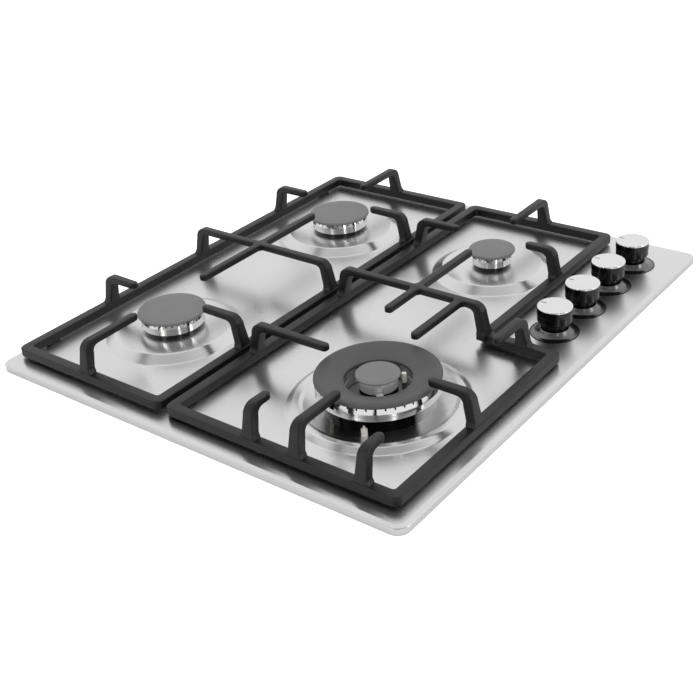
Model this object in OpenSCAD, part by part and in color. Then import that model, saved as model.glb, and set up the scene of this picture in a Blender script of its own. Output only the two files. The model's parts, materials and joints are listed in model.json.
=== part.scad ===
// Built-in gas cooktop with four burners and controls at the front right.
// Millimetres, +Z up, X to the right along the front edge, Y to the back.
// Heights are measured from the worktop and lifted by the depth of the tray.

/* [Plate] */
// Width of the steel plate
plate_w = 580; // [560:5:640]
// Depth of the steel plate
plate_d = 510; // [505:5:540]
// Corner radius of the plate
plate_corner_r = 12; // [10:1:20]
// Thickness of the steel sheet
sheet_t = 1; // [0.8:0.1:1.2]
// Height of the straight side of the rim
rim_h = 7.2; // [6:0.1:9]
// Rise from the straight side to the flat top
rim_rise = 1; // [0.5:0.1:2]
// Width of the slope between the rim and the flat top
rim_slope_w = 5; // [3:0.5:8]

/* [Burner places] */
// Distance of the left and right burners from the middle
burner_x = 144.5; // [140:0.5:150]
// Distance of the rear burners from the back edge
rear_burner_in = 111.5; // [108:0.5:115]
// Place of the front right burner between the grate's notch and back, as a share
aux_burner_share = 0.454; // [0.44:0.001:0.47]
// Distance of the wok burner from the front edge
wok_burner_in = 127.5; // [125:0.5:130]

/* [Raised seats] */
// Height of the raised seats over the flat top
seat_h = 6.8; // [5:0.1:8]
// Outer radius of the rear seats
seat_r = 73.5; // [70:0.5:78]
// Outer radius of the front right seat
aux_seat_r = 66.5; // [62:0.5:70]
// Width of the slope around these seats
seat_slope_w = 11; // [8:0.5:14]
// Outer radius of the ring around the wok burner
wok_ring_r = 88.5; // [87:0.5:92]
// Width of the outer slope of that ring
wok_slope_w = 6.5; // [5:0.5:8]
// Width of the flat crest of that ring
wok_crest_w = 6; // [4:0.5:7]
// Height of that crest over the flat top
wok_crest_h = 4.4; // [3.5:0.1:6]
// Width of the step down from the crest to the dish
wok_step_w = 4; // [3:0.5:5]
// Height of that step
wok_step_h = 2; // [1.5:0.1:2.5]
// Height of the dish floor over the flat top
wok_floor_h = 0.2; // [0:0.1:0.8]

/* [Rear and front right burners] */
// Radius of the rear flame crowns
crown_r = 33.4; // [32:0.1:35]
// Radius of the front right flame crown
aux_crown_r = 22.2; // [21:0.1:24]
// Height of these crowns
crown_h = 12.3; // [11:0.1:14]
// Height of the sloped band with the flame ports
band_h = 4.4; // [3:0.1:6]
// How far the sloped band leans in
band_in = 1.4; // [0.8:0.1:2]
// Overhang of the rear caps
cap_lip = 3; // [2:0.1:3.6]
// Overhang of the front right cap
aux_cap_lip = 3.9; // [3:0.1:4.5]
// Thickness of these caps
cap_t = 4.2; // [3.8:0.1:5]
// Height of the dark base flange over the seat
base_h = 3.7; // [3:0.1:5]
// How far the base flange stays inside the crown
base_in = 1.4; // [1:0.1:3]

/* [Wok burner] */
// Outer radius of the ring crown
wok_crown_r = 59.6; // [58:0.1:60]
// Height of the ring crown
wok_crown_h = 13.4; // [12.5:0.1:14]
// Height of its sloped band with the flame ports
wok_band_h = 5.6; // [4:0.1:7]
// Overhang of the ring cap
wok_cap_lip = 0.6; // [0.4:0.1:1.2]
// Radius of the hole in the ring cap
wok_hole_r = 32.4; // [31:0.1:33]
// Height of the ring cap's crest over the crown
wok_cap_t = 3.6; // [3:0.1:4]
// Distance of that crest from the cap's rim
wok_crest_in = 6; // [4:0.1:8]
// Depth of the ring cap's inner edge below its crest
wok_cap_dip = 6.6; // [5:0.1:8]
// How far the cast base stays inside the ring crown
wok_base_in = 6.6; // [6:0.1:8]
// Height of the cast base over the dish floor
wok_base_h = 14.9; // [14:0.1:15.5]
// Radius of the centre crown
centre_crown_r = 18.4; // [17.5:0.1:19]
// Height of the centre crown
centre_crown_h = 12.4; // [11:0.1:13]
// Height of the centre crown's seat over the cast base
centre_seat_h = 1.8; // [1.2:0.1:2.5]
// Overhang of the centre cap
centre_cap_lip = 3; // [2:0.1:3.4]
// Thickness of the centre cap
centre_cap_t = 2.2; // [2:0.1:3]

/* [Grates] */
// Margin between the plate's side edges and the grates
grate_side_in = 19; // [16:0.5:22]
// Margin between the plate's back edge and the rear grate
grate_back_in = 9; // [7:0.5:12]
// Margin between the plate's front edge and the front grate
grate_front_in = 16.5; // [13:0.5:20]
// Depth of the rear grate
rear_grate_d = 208.5; // [205:0.5:212]
// Gap between the two grates
grate_gap = 7.5; // [6:0.5:10]
// Width of the frame bars
bar_w = 11; // [9:0.1:12]
// Height of the frame bars
bar_h = 9.6; // [8:0.1:11]
// Height of the rubber feet between plate and bars
foot_h = 2; // [1.5:0.1:3]
// Height of the pan support over the frame bars
finger_rise = 32.1; // [28:0.1:36]
// Thickness of the fingers
finger_t = 7; // [6:0.1:8]
// Width of the fingers
finger_w = 8.2; // [7:0.1:9]
// Thickness of the legs
leg_t = 9.2; // [8:0.1:10]
// Inward lean of the legs
leg_lean = 5.4; // [4:0.1:7]
// Outer radius of the bend between leg and finger
bend_r = 11; // [9:0.5:13]
// Inner radius of that bend
bend_in_r = 4; // [3:0.5:6]
// Outer corner radius of the frames
frame_corner_r = 8; // [6:0.5:10]
// Inner corner radius of the frames
frame_inner_r = 3; // [2:0.5:5]
// Free radius over the rear burners, left to right
tip_side_r = 47.4; // [45:0.1:50]
// Free radius over the rear burners, front to back
tip_deep_r = 49.6; // [47:0.1:52]
// Free radius over the wok burner
tip_wok_r = 57; // [55:0.1:59]
// Free radius over the front right burner
tip_aux_r = 43.6; // [41:0.1:46]
// Distance of the short left fingers' tips from the wok burner
short_left = 90.5; // [86:0.5:94]
// Distance of the short right fingers' tips from the wok burner
short_right = 88.1; // [85:0.1:91]
// Place of the short fingers before the wok burner
short_before = 71.7; // [69:0.1:74]
// Distance between the front grate's notch and the first knob
notch_side = 49.8; // [46:0.1:54]
// Distance between the front grate's notch and the row of knobs
notch_behind = 42.6; // [38:0.1:46]

/* [Controls] */
// Distance of the last knob from the plate's right edge
knob_side_in = 59.6; // [56:0.1:64]
// Distance of the knobs from the front edge
knob_front_in = 52; // [49:0.5:55]
// Spacing of the knobs
knob_pitch = 59; // [57:0.5:61]
// Height of the knobs' top over the plate
knob_h = 29.8; // [28:0.1:32]
// Radius of the knobs
knob_r = 18; // [17:0.1:19]
// Thickness of the metal disc on the knobs
disc_t = 1.6; // [1.2:0.1:2]
// Height of the wide part's lower end over the plate
skirt_h = 13.4; // [12:0.1:15]
// Radius of the knobs' narrow collar
collar_r = 13; // [12:0.1:14]
// Outer radius of the bezels
bezel_r = 24.6; // [23:0.1:26]
// Height of the bezels
bezel_h = 1.2; // [1:0.1:2]
// Push travel of the knobs
push_travel = 3; // [2:0.1:4]

/* [Tray and gas inlet] */
// Margin between the plate's side edges and the tray
tray_side_in = 15; // [13:0.5:17]
// Margin between the plate's front edge and the tray
tray_front_in = 15; // [13:0.5:17]
// Margin between the plate's back edge and the tray
tray_back_in = 25; // [23:0.5:27]
// Depth of the tray below the worktop
tray_depth = 42; // [41:0.5:50]
// Radius of the inlet's half inch thread
inlet_r = 10.48; // [10.3:0.01:10.6]
// Length of the thread behind the tray
inlet_l = 13; // [11:0.5:16]

/* [Parts] */
// Part to show

/* [Hidden] */

// Overrun of the cuts
over = 1;
// Running gap of turning and sliding fits
run_gap = 0.05;
// Free gap around what passes through a hole
free_gap = 0.4;
// Free gap between neighbours that never touch
side_gap = 0.8;

// Plate and worktop
half_w = plate_w / 2;
half_d = plate_d / 2;
plate_z = rim_h + rim_rise;
under_z = plate_z - sheet_t;

// Burner places and heights
rear_y = half_d - rear_burner_in;
rl = [-burner_x, rear_y];
rr = [burner_x, rear_y];
wk = [-burner_x, wok_burner_in - half_d];
seat_z = plate_z + seat_h;
crown_z = seat_z + base_h;
cap_z0 = crown_z + crown_h;
cap_z = cap_z0 + cap_t;
cap_r = crown_r + cap_lip;
aux_cap_r = aux_crown_r + aux_cap_lip;

// Heights and radii of the wok burner
wok_crest_r = wok_ring_r - wok_slope_w;
wok_crest_in_r = wok_crest_r - wok_crest_w;
wok_crest_z = plate_z + wok_crest_h;
dish_r = wok_crest_in_r - wok_step_w;
dish_edge_z = wok_crest_z - wok_step_h;
wok_base_r = wok_crown_r - wok_base_in;
dish_floor_r = wok_base_r + side_gap;
dish_floor_z = plate_z + wok_floor_h;
wok_crown_z = dish_floor_z + wok_base_h;
wok_cap_z0 = wok_crown_z + wok_crown_h;
wok_cap_z = wok_cap_z0 + wok_cap_t;
wok_cap_r = wok_crown_r + wok_cap_lip;
wok_edge_z = wok_cap_z - wok_cap_dip;
centre_crown_z = wok_crown_z + centre_seat_h;
centre_cap_z0 = centre_crown_z + centre_crown_h;
centre_cap_z = centre_cap_z0 + centre_cap_t;
centre_cap_r = centre_crown_r + centre_cap_lip;

// Burner bodies below the flanges
base_lip = 4.6;
base_body_r = crown_r - base_in - base_lip;
aux_body_r = aux_crown_r - base_in - base_lip;
wok_body_r = wok_base_r - base_lip;
throat_share = 0.42;
bracket_t = 3;
bracket_w = 12;
body_low = -2;
bracket_z = -14;
injector_r = 4.5;
injector_top = -9;
injector_low = -22;
jet_r = 0.8;

// Flame crowns and caps
port_w = 1.6;
port_h = 1.7;
rear_ports = 32;
aux_ports = 22;
wok_ports = 42;
centre_ports = 16;
crown_edge = 0.8;
crown_floor_t = 3;
crown_wall_share = 0.7;
crown_bore_share = 0.35;
cap_edge = 1.4;
centre_cap_edge = 0.8;
cap_dome = 0.5;
cap_end_deg = 80;
wok_wall = 9;
wok_in_wall = 3;
wok_edge_t = 2.6;
wok_rim_t = 0.8;
wok_arm_w = 7;
wok_arm_t = 5;
wok_arm_deg = 40;
wok_gap_w = 6;
wok_gap_h = 8;
wok_gap_deg = 171.4286;
wok_throat_r = 9;
wok_post_r = 13.6;
wok_bracket_x = 12;
wok_side_x = 30;
wok_side = [wk[0] + wok_side_x, wk[1]];

// Spark electrodes and flame sensors
electrode_r = 3;
electrode_pin_r = 1;
electrode_pin_l = 3;
sensor_r = 2;
spark_h = 6;
sense_h = 9;
wok_spark_drop = 7.4;
wok_sense_drop = 6.3;
spark_low_z = -16;
sense_low_z = -14;
spark_deg = 62;
sense_deg = 10;
wok_spark_deg = 203;
wok_sense_deg = 170;
near_r = crown_r + electrode_r + side_gap;
near_aux_r = aux_crown_r + electrode_r + side_gap;
near_wok_r = wok_crown_r - side_gap;
centre_spark_r = 2.4;
centre_spark_in = 25;
centre_spark_deg = -37;
centre_spark_h = 9.7;

// Grates
grate_x = half_w - grate_side_in;
rear_grate_back = half_d - grate_back_in;
rear_grate_front = rear_grate_back - rear_grate_d;
front_grate_back = rear_grate_front - grate_gap;
front_grate_front = grate_front_in - half_d;
bar_bottom = plate_z + foot_h;
bar_top = bar_bottom + bar_h;
finger_top = bar_top + finger_rise;
finger_z = finger_top - finger_t;
leg_flare = 2;
flare_shares = [0.25, 0.5, 1.6];
foot_l = 14;
foot_w = 7;
foot_end = 40;
short_left_x = wk[0] - short_left;
short_right_x = wk[0] + short_right;
short_front_y = wk[1] - short_before;

// Controls
knob_x = half_w - knob_side_in - knob_pitch * 3;
knob_y = knob_front_in - half_d;
knob_top = plate_z + knob_h;
skirt_z = plate_z + skirt_h;
collar_z = plate_z + side_gap;
bezel_in_r = collar_r + bezel_h;
bezel_edge_h = 0.3;
notch_x = knob_x - notch_side;
notch_y = knob_y + notch_behind;
bridge_x = notch_x - bar_w / 2;
fr = [burner_x, notch_y + (front_grate_back - notch_y) * aux_burner_share];
short_back_y = fr[1];
knob_edge = 0.6;
neck_r = 1.6;
skirt_r = 3.2;
groove_w = 1.2;
groove_l = 6;
groove_d = 0.5;
spindle_r = 3;
spindle_low = -16;
spindle_in = 6.4;
spindle_top = knob_top - disc_t - spindle_in;
neck_end_deg = 100;
skirt_start_deg = -70;
flat_share = 0.6;

// Valves
valve_w = 11;
valve_l = 19;
valve_low = -34;
valve_top = -14;
tower_r = 9;
tower_top = -4;
tower_roof = 1;
plug_r = 6;
plug_low = -30;
plug_top = -8;

// Tray, studs and screws
tray_x = half_w - tray_side_in;
tray_front = tray_front_in - half_d;
tray_back = half_d - tray_back_in;
floor_z = -tray_depth;
floor_in_z = floor_z + sheet_t;
stud_r = 3;
stud_h = 4;
stud_in = 75;
stud_y = half_d - stud_in;
stud_x = tray_x - sheet_t - stud_r * 2;
stud_places = [for (sx = [-1, 1], y = [-stud_y, 0, stud_y]) [sx * stud_x, y]];
tray_top = under_z - stud_h;
ear_l = 18;
screw_r = 1.8;
screw_head_r = 3.4;
screw_head_t = 2;
vent_l = 120;
vent_w = 4;
vent_in = 70;
vent_y = tray_back - vent_in;
vent_pitch = 9;
vents = 6;

// Seal under the rim
seal_in = 6.2;
seal_w = 5;
seal_corner_r = 7;

// Worktop clamps
clamp_in = 105;
clamp_y = half_d - clamp_in;
clamp_low = -31;
clamp_high = -9;
clamp_t = 2;
clamp_w = 18;
clamp_reach = 13;
clamp_screw_z = -18;

// Gas rail and inlet
rail_r = 7;
rail_z = -23;
rail_gap = 4;
rail_start = 23;
rail_in = 17;
rail_y = knob_y - valve_l - rail_gap;
rail_x0 = knob_x - rail_start;
rail_x1 = tray_x - rail_in;
nut_r = 12;
nut_l = 17;
nut_y = tray_back - sheet_t - nut_l;
inlet_bore_r = 7;
inlet_wall = 4;
inlet_neck_r = 9.4;
inlet_neck_out = 1;

// Pipe lanes behind the valves and between the burners
pipe_r = 3;
pipe_z = -28;
outlet_y = knob_y + valve_w;
pipe_lane = 32;
pipe_lane_step = 12;
pipe_side = 5;
pipe_middle_x = 20;
pipe_middle_step = 40;

// Spark generator and its leads
gen_left = 40;
gen_behind = 40;
gen = [-gen_left, gen_behind];
gen_x = 30;
gen_y = 20;
gen_top = -16;
lead_r = 1.25;
lead_z = -36;
lead_side = 12;

// Sensor leads
sense_lead_r = 1;
sense_lead_z = -22;
sense_side = 6;
sense_wok_side = 8;
sense_wok_lane = 20;
sense_lane = 72;
sense_lane_step = 8;
sense_aux_in = 12;
sense_middle_x = 90;
sense_middle_step = 10;
sense_back_y = 75;

// Switches on the valves
switch_w = 7;
switch_t = 4;
switch_h = 7;
switch_y = knob_y + tower_r + free_gap;
strip_low = 1;
strip_h = 3;
strip_t = 2;

// Terminal block, gland and supply wires
term_right = 150;
term_in = 18;
term = [term_right, tray_back - term_in];
term_x = 22;
term_y = 12;
term_top = -14;
gland_r = 6.5;
gland_z = -26;
gland_out = 8;
cord_r = 3.6;
cord_l = 20;
supply_side = 4;
supply_gen_side = 6;
supply_behind = 23;
supply_y = knob_y + supply_behind;
supply_x = 80;
supply_z = -11.6;

function polar(c, r, a) = [c[0] + r * cos(a), c[1] + r * sin(a)];

function arc(cx, cy, r, a0, a1, n) =
    [for (i = [0:n]) let (a = a0 + (a1 - a0) * i / n) [cx + r * cos(a), cy + r * sin(a)]];

function flipped(pts) = [for (p = pts) [-p[0], p[1]]];

function knob_pos(i) = [knob_x + knob_pitch * i, knob_y];

sparks = [
    polar(rl, near_r, spark_deg), polar(rr, near_r, spark_deg),
    polar(fr, near_aux_r, spark_deg), polar(wk, near_wok_r, wok_spark_deg)
];
senses = [
    polar(rl, near_r, sense_deg), polar(rr, near_r, sense_deg),
    polar(fr, near_aux_r, sense_deg), polar(wk, near_wok_r, wok_sense_deg)
];
spark_tops = [
    crown_z + spark_h, crown_z + spark_h, crown_z + spark_h,
    wok_crown_z - wok_spark_drop
];
sense_tops = [
    crown_z + sense_h, crown_z + sense_h, crown_z + sense_h,
    wok_crown_z - wok_sense_drop
];

// Lifts the heights over the worktop to heights over the tray floor
module lift() {
    translate([0, 0, tray_depth]) children();
}

module at(p, z) {
    translate([p[0], p[1], z]) children();
}

// Upright round piece between two heights
module disc(p, r, z0, z1) {
    at(p, z0) cylinder(r = r, h = z1 - z0, $fn = 96);
}

module block(x0, x1, y0, y1, z0, z1) {
    translate([x0, y0, z0]) cube([x1 - x0, y1 - y0, z1 - z0]);
}

// Block of a given size around a point in plan
module post(p, x, y, z0, z1) {
    block(p[0] - x / 2, p[0] + x / 2, p[1] - y / 2, p[1] + y / 2, z0, z1);
}

// Profile turned around an upright axis
module turned(p, pts) {
    at(p, 0) rotate_extrude($fn = 128) polygon(pts);
}

// Round bar along Y
module along_y(x, y0, y1, z, r) {
    translate([x, y0, z]) rotate([-90, 0, 0]) cylinder(r = r, h = y1 - y0, $fn = 96);
}

// Straight round bar between two points
module rod(a, b, r) {
    d = b - a;
    l = norm(d);
    translate(a) rotate([0, acos(d[2] / l), atan2(d[1], d[0])])
        cylinder(r = r, h = l, $fn = 24);
}

// Round run through a list of points, with ball corners
module run(pts, r) {
    for (i = [0:len(pts) - 2]) rod(pts[i], pts[i + 1], r);
    for (i = [1:len(pts) - 2]) translate(pts[i]) sphere(r = r, $fn = 24);
}

// Outline of a rectangle with round corners
module round_rect(x0, x1, y0, y1, r) {
    translate([x0 + r, y0]) square([x1 - r - (x0 + r), y1 - y0]);
    translate([x0, y0 + r]) square([x1 - x0, y1 - r - (y0 + r)]);
    for (x = [x0 + r, x1 - r], y = [y0 + r, y1 - r])
        translate([x, y]) circle(r = r, $fn = 48);
}

module round_block(x, y, r, z0, z1) {
    translate([0, 0, z0]) linear_extrude(z1 - z0) round_rect(-x, x, -y, y, r);
}

// Rim and flat top of the plate as a solid, shrunk and lowered for the inside
module plate_solid(inset, drop) {
    x = half_w - inset;
    y = half_d - inset;
    r = plate_corner_r - inset;
    low = inset > 0 ? -over : 0;
    edge = [
        [0, low], [r, low], [r, rim_h - drop],
        [r - rim_slope_w, plate_z - drop], [0, plate_z - drop]
    ];
    block(r - x, x - r, r - y, y - r, low, plate_z - drop);
    for (sx = [-1, 1], sy = [-1, 1])
        translate([sx * (x - r), sy * (y - r), 0])
            rotate_extrude($fn = 96) polygon(edge);
    for (s = [0, 180]) rotate([0, 0, s]) {
        translate([x - r, y - r, 0]) rotate([90, 0, 0])
            linear_extrude(y * 2 - r * 2) polygon(edge);
        translate([x - r, y - r, 0]) rotate([90, 0, -90])
            linear_extrude(x * 2 - r * 2) polygon(flipped(edge));
    }
}

// One raised seat with its slope
module seat(p, r, slope_w, top, drop) {
    low = plate_z - drop - over;
    turned(p, [
        [0, low], [r, low], [r, plate_z - drop], [r - slope_w, top - drop], [0, top - drop]
    ]);
}

// Raised seats pressed into the plate
module seats(drop) {
    seat(rl, seat_r, seat_slope_w, seat_z, drop);
    seat(rr, seat_r, seat_slope_w, seat_z, drop);
    seat(fr, aux_seat_r, seat_slope_w, seat_z, drop);
    seat(wk, wok_ring_r, wok_slope_w, wok_crest_z, drop);
}

// Space over the dish of the wok burner
module dish(drop) {
    top = wok_crest_z + over;
    turned(wk, [
        [0, dish_floor_z - drop], [dish_floor_r, dish_floor_z - drop],
        [dish_r, dish_edge_z - drop], [wok_crest_in_r, wok_crest_z - drop],
        [wok_crest_in_r, top], [0, top]
    ]);
}

// Outer or inner face of the pressed sheet
module sheet_solid(inset, drop) {
    difference() {
        union() {
            plate_solid(inset, drop);
            seats(drop);
        }
        dish(drop);
    }
}

// Pressed plate with its holes and the studs that carry the tray
module top_plate() {
    color("lightgrey") lift() {
        difference() {
            sheet_solid(0, 0);
            sheet_solid(sheet_t, sheet_t);
            disc(rl, base_body_r + free_gap, 0, seat_z + over);
            disc(rr, base_body_r + free_gap, 0, seat_z + over);
            disc(fr, aux_body_r + free_gap, 0, seat_z + over);
            disc(wk, wok_body_r + free_gap, 0, seat_z + over);
            for (i = [0:3]) {
                disc(sparks[i], electrode_r + free_gap, 0, seat_z + over);
                disc(senses[i], sensor_r + free_gap, 0, seat_z + over);
                disc(knob_pos(i), bezel_in_r, 0, seat_z + over);
            }
        }
        for (p = stud_places) disc(p, stud_r, tray_top, under_z);
    }
}

module worktop_seal() {
    x = half_w - seal_in;
    y = half_d - seal_in;
    color("dimgrey") lift() difference() {
        round_block(x, y, seal_corner_r, 0, under_z);
        round_block(x - seal_w, y - seal_w, seal_corner_r - seal_w, -over, under_z + over);
    }
}

// Steel tray with ears that are screwed to the studs
module bottom_tray() {
    color("silver") lift() {
        difference() {
            block(-tray_x, tray_x, tray_front, tray_back, floor_z, tray_top);
            block(sheet_t - tray_x, tray_x - sheet_t, tray_front + sheet_t,
                tray_back - sheet_t, floor_in_z, tray_top + over);
            along_y(rail_x1, nut_y, tray_back + over, rail_z, inlet_r + free_gap);
            along_y(term[0], term[1], tray_back + over, gland_z, gland_r);
            for (i = [0:vents - 1])
                post([0, vent_y + vent_pitch * i], vent_l, vent_w, floor_z - over, floor_in_z + over);
        }
        for (s = [-1, 1], y = [-stud_y, 0, stud_y]) difference() {
            post([s * (tray_x - sheet_t - stud_r * 2), y], stud_r * 4, ear_l, tray_top - sheet_t, tray_top);
            disc([s * stud_x, y], screw_r + free_gap, tray_top - sheet_t - over, tray_top + over);
        }
    }
}

module tray_screws() {
    top = tray_top - sheet_t;
    color("grey") lift() for (p = stud_places) disc(p, screw_head_r, top - screw_head_t, top);
}

// Turns and moves to the place of a clamp on the left or right side
module at_clamps() {
    for (s = [0, 180], y = [-clamp_y, clamp_y])
        rotate([0, 0, s]) translate([tray_x, y, 0]) children();
}

module clamp_brackets() {
    color("silver") lift() at_clamps() difference() {
        union() {
            block(0, clamp_t, -clamp_w / 2, clamp_w / 2, clamp_low, clamp_high);
            block(0, clamp_reach, -clamp_w / 2, clamp_w / 2, clamp_low, clamp_low + clamp_t);
        }
        translate([-over, 0, clamp_screw_z]) rotate([0, 90, 0])
            cylinder(r = screw_r + free_gap, h = clamp_t + over * 2, $fn = 32);
    }
}

module clamp_screws() {
    color("grey") lift() at_clamps() translate([clamp_t, 0, clamp_screw_z])
        rotate([0, 90, 0]) cylinder(r = screw_head_r, h = screw_head_t, $fn = 48);
}

// Gas rail along the valves and back along the right side
module gas_rail() {
    color("silver") lift() difference() {
        run([
            [rail_x0, rail_y, rail_z], [rail_x1, rail_y, rail_z], [rail_x1, nut_y, rail_z]
        ], rail_r);
        for (i = [0:3]) valve_block(i);
    }
}

// Brass nut on the rail, with a neck through the back wall and the thread behind it
module gas_inlet() {
    start = tray_back + inlet_neck_out;
    end = tray_back + inlet_l;
    color("gold") lift() difference() {
        union() {
            along_y(rail_x1, nut_y, tray_back - sheet_t, rail_z, nut_r);
            along_y(rail_x1, nut_y, end, rail_z, inlet_neck_r);
            along_y(rail_x1, start, end, rail_z, inlet_r);
        }
        along_y(rail_x1, nut_y + inlet_wall, end + over, rail_z, inlet_bore_r);
    }
}

module valve_block(i) {
    p = knob_pos(i);
    block(p[0] - valve_w, p[0] + valve_w, p[1] - valve_l, p[1] + valve_w, valve_low, valve_top);
}

// Valve body with its stem tower
module valve(i) {
    p = knob_pos(i);
    color("silver") lift() difference() {
        union() {
            valve_block(i);
            disc(p, tower_r, valve_top, tower_top);
        }
        disc(p, plug_r + run_gap, plug_low, tower_top - tower_roof);
        disc(p, spindle_r + free_gap, plug_top, tower_top + over);
    }
}

// Turning plug inside the valve, with the bore that the spindle slides in
module plug(i) {
    p = knob_pos(i);
    color("gold") lift() difference() {
        disc(p, plug_r, plug_low, plug_top);
        disc(p, spindle_r + run_gap, spindle_low - push_travel - free_gap, plug_top + over);
    }
}

// Round bar with a flat on its back side
module flat_bar(p, r, z0, z1, flat_z) {
    difference() {
        disc(p, r, z0, z1);
        block(p[0] - r - over, p[0] + r + over, p[1] + r * flat_share, p[1] + r + over,
            flat_z, z1 + over);
    }
}

// Spindle with a flat that drives the knob
module spindle(i) {
    color("grey") lift()
        flat_bar(knob_pos(i), spindle_r, spindle_low, spindle_top, collar_z);
}

// Knob body, a turned profile with a bore for the spindle
module knob(i) {
    p = knob_pos(i);
    top = knob_top - disc_t;
    color("black") lift() difference() {
        turned(p, concat(
            [[0, collar_z], [collar_r - knob_edge, collar_z], [collar_r, collar_z + knob_edge]],
            arc(collar_r + neck_r, skirt_z - neck_r - skirt_r, neck_r, 180, neck_end_deg, 6),
            arc(knob_r - skirt_r, skirt_z, skirt_r, skirt_start_deg, 0, 8),
            [[knob_r, top], [0, top]]
        ));
        flat_bar(p, spindle_r, collar_z - over, spindle_top, collar_z - over);
    }
}

// Metal disc on top of the knob with its pointer groove
module knob_disc(i) {
    p = knob_pos(i);
    edge = disc_t / 2;
    color("silver") lift() difference() {
        turned(p, [
            [0, knob_top - disc_t], [knob_r, knob_top - disc_t],
            [knob_r, knob_top - edge], [knob_r - edge, knob_top], [0, knob_top]
        ]);
        post([p[0], p[1] + knob_r - disc_t - groove_l / 2], groove_w, groove_l,
            knob_top - groove_d, knob_top + over);
    }
}

// Shallow rings around the knob holes
module knob_bezels() {
    top = plate_z + bezel_h;
    color("silver") lift() for (i = [0:3])
        turned(knob_pos(i), [
            [bezel_in_r, plate_z], [bezel_r, plate_z], [bezel_r, plate_z + bezel_edge_h],
            [bezel_in_r + bezel_h, top], [bezel_in_r, top]
        ]);
}

// Hanging bracket of an injector: two legs and a foot
module injector_bracket(p, leg_x) {
    for (s = [-1, 1]) post([p[0] + s * leg_x, p[1]], bracket_t, bracket_w, bracket_z, body_low);
    post(p, leg_x * 2 + bracket_t, bracket_w, bracket_z - bracket_t, bracket_z);
}

// Cast burner base with flange, throat and injector bracket
module burner_base(p, flange, body) {
    color("black") lift() difference() {
        union() {
            disc(p, flange, seat_z, crown_z);
            disc(p, body, body_low, seat_z);
            injector_bracket(p, body / 2 + bracket_t / 2);
        }
        disc(p, body * throat_share, body_low - over, crown_z + over);
        disc(p, injector_r, bracket_z - bracket_t - over, bracket_z + over);
    }
}

module base_wok() {
    color("silver") lift() difference() {
        union() {
            disc(wk, wok_base_r, dish_floor_z, wok_crown_z);
            disc(wk, wok_body_r, body_low, dish_floor_z);
            disc(wk, wok_post_r, wok_crown_z, centre_crown_z);
            injector_bracket(wk, wok_bracket_x);
            injector_bracket(wok_side, wok_bracket_x);
        }
        disc(wk, wok_throat_r, body_low - over, centre_crown_z + over);
        disc(wok_side, wok_throat_r, body_low - over, wok_crown_z + over);
        for (q = [wk, wok_side])
            disc(q, injector_r, bracket_z - bracket_t - over, bracket_z + over);
    }
}

// Flame ports cut into the top edge of a crown
module ports(p, r_in, r_out, top, n) {
    for (k = [0:n - 1])
        at(p, 0) rotate([0, 0, 360 * k / n])
            block(r_in - over, r_out + over, -port_w / 2, port_w / 2, top - port_h, top + over);
}

// Flame crown: a ring with a sloped band of ports over a floor with a bore
module crown(p, r, z0, z1, band, n) {
    inner = r * crown_wall_share;
    bore = r * crown_bore_share;
    color("silver") lift() difference() {
        turned(p, [
            [bore, z0], [r - crown_edge, z0], [r, z0 + crown_edge], [r, z1 - band],
            [r - band_in, z1], [inner, z1], [inner, z0 + crown_floor_t],
            [bore, z0 + crown_floor_t]
        ]);
        ports(p, inner, r, z1, n);
    }
}

// Ring crown with two crossover arms to the centre and a gap over the sensor
module crown_wok_ring() {
    z0 = wok_crown_z;
    z1 = wok_cap_z0;
    r = wok_crown_r;
    wall = r - wok_wall;
    in = wok_hole_r + wok_in_wall;
    floor_top = z0 + crown_floor_t;
    color("silver") lift() difference() {
        union() {
            turned(wk, [
                [wok_hole_r, z0], [r - crown_edge, z0], [r, z0 + crown_edge],
                [r, z1 - wok_band_h], [r - band_in, z1], [wall, z1], [wall, floor_top],
                [in, floor_top], [in, wok_edge_z - wok_edge_t], [wok_hole_r, wok_edge_z - wok_edge_t]
            ]);
            for (a = [wok_arm_deg, wok_arm_deg + 180])
                at(wk, 0) rotate([0, 0, a])
                    block(centre_crown_r + side_gap, wok_hole_r + over,
                        -wok_arm_w / 2, wok_arm_w / 2, z0, z0 + wok_arm_t);
        }
        disc(wok_side, wok_throat_r, z0 - over, floor_top + over);
        ports(wk, wall, r, z1, wok_ports);
        at(wk, 0) rotate([0, 0, wok_gap_deg])
            block(wall - over, r + over, -wok_gap_w / 2, wok_gap_w / 2, z1 - wok_gap_h, z1 + over);
    }
}

// Rounded outer side of a cap, from the underside to the top
function cap_side(r, z0, z1, edge) = concat(
    [[r - edge, z0]],
    arc(r - edge, z0 + edge, edge, -90, 0, 4),
    arc(r - edge, z1 - edge - cap_dome, edge, 0, cap_end_deg, 4)
);

// Slightly domed cap
module cap(p, r, z0, z1, edge) {
    color("black") lift() turned(p, concat([[0, z0]], cap_side(r, z0, z1, edge), [[0, z1]]));
}

// Ring cap: a cone that falls to its hole, with a crest behind a rounded rim
module cap_wok_ring() {
    rim_z = wok_cap_z0 + wok_rim_t;
    low = wok_edge_z - wok_edge_t;
    color("black") lift() turned(wk, concat(
        [
            [wok_hole_r, low], [wok_hole_r + wok_in_wall, low],
            [wok_crown_r - wok_wall, wok_cap_z0], [wok_cap_r - wok_rim_t, wok_cap_z0]
        ],
        [for (i = [0:6]) let (a = 90 * i / 6)
            [wok_cap_r - wok_crest_in * (1 - cos(a)), rim_z + (wok_cap_z - rim_z) * sin(a)]],
        [[wok_hole_r + cap_edge, wok_edge_z], [wok_hole_r, wok_edge_z - cap_edge]]
    ));
}

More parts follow.
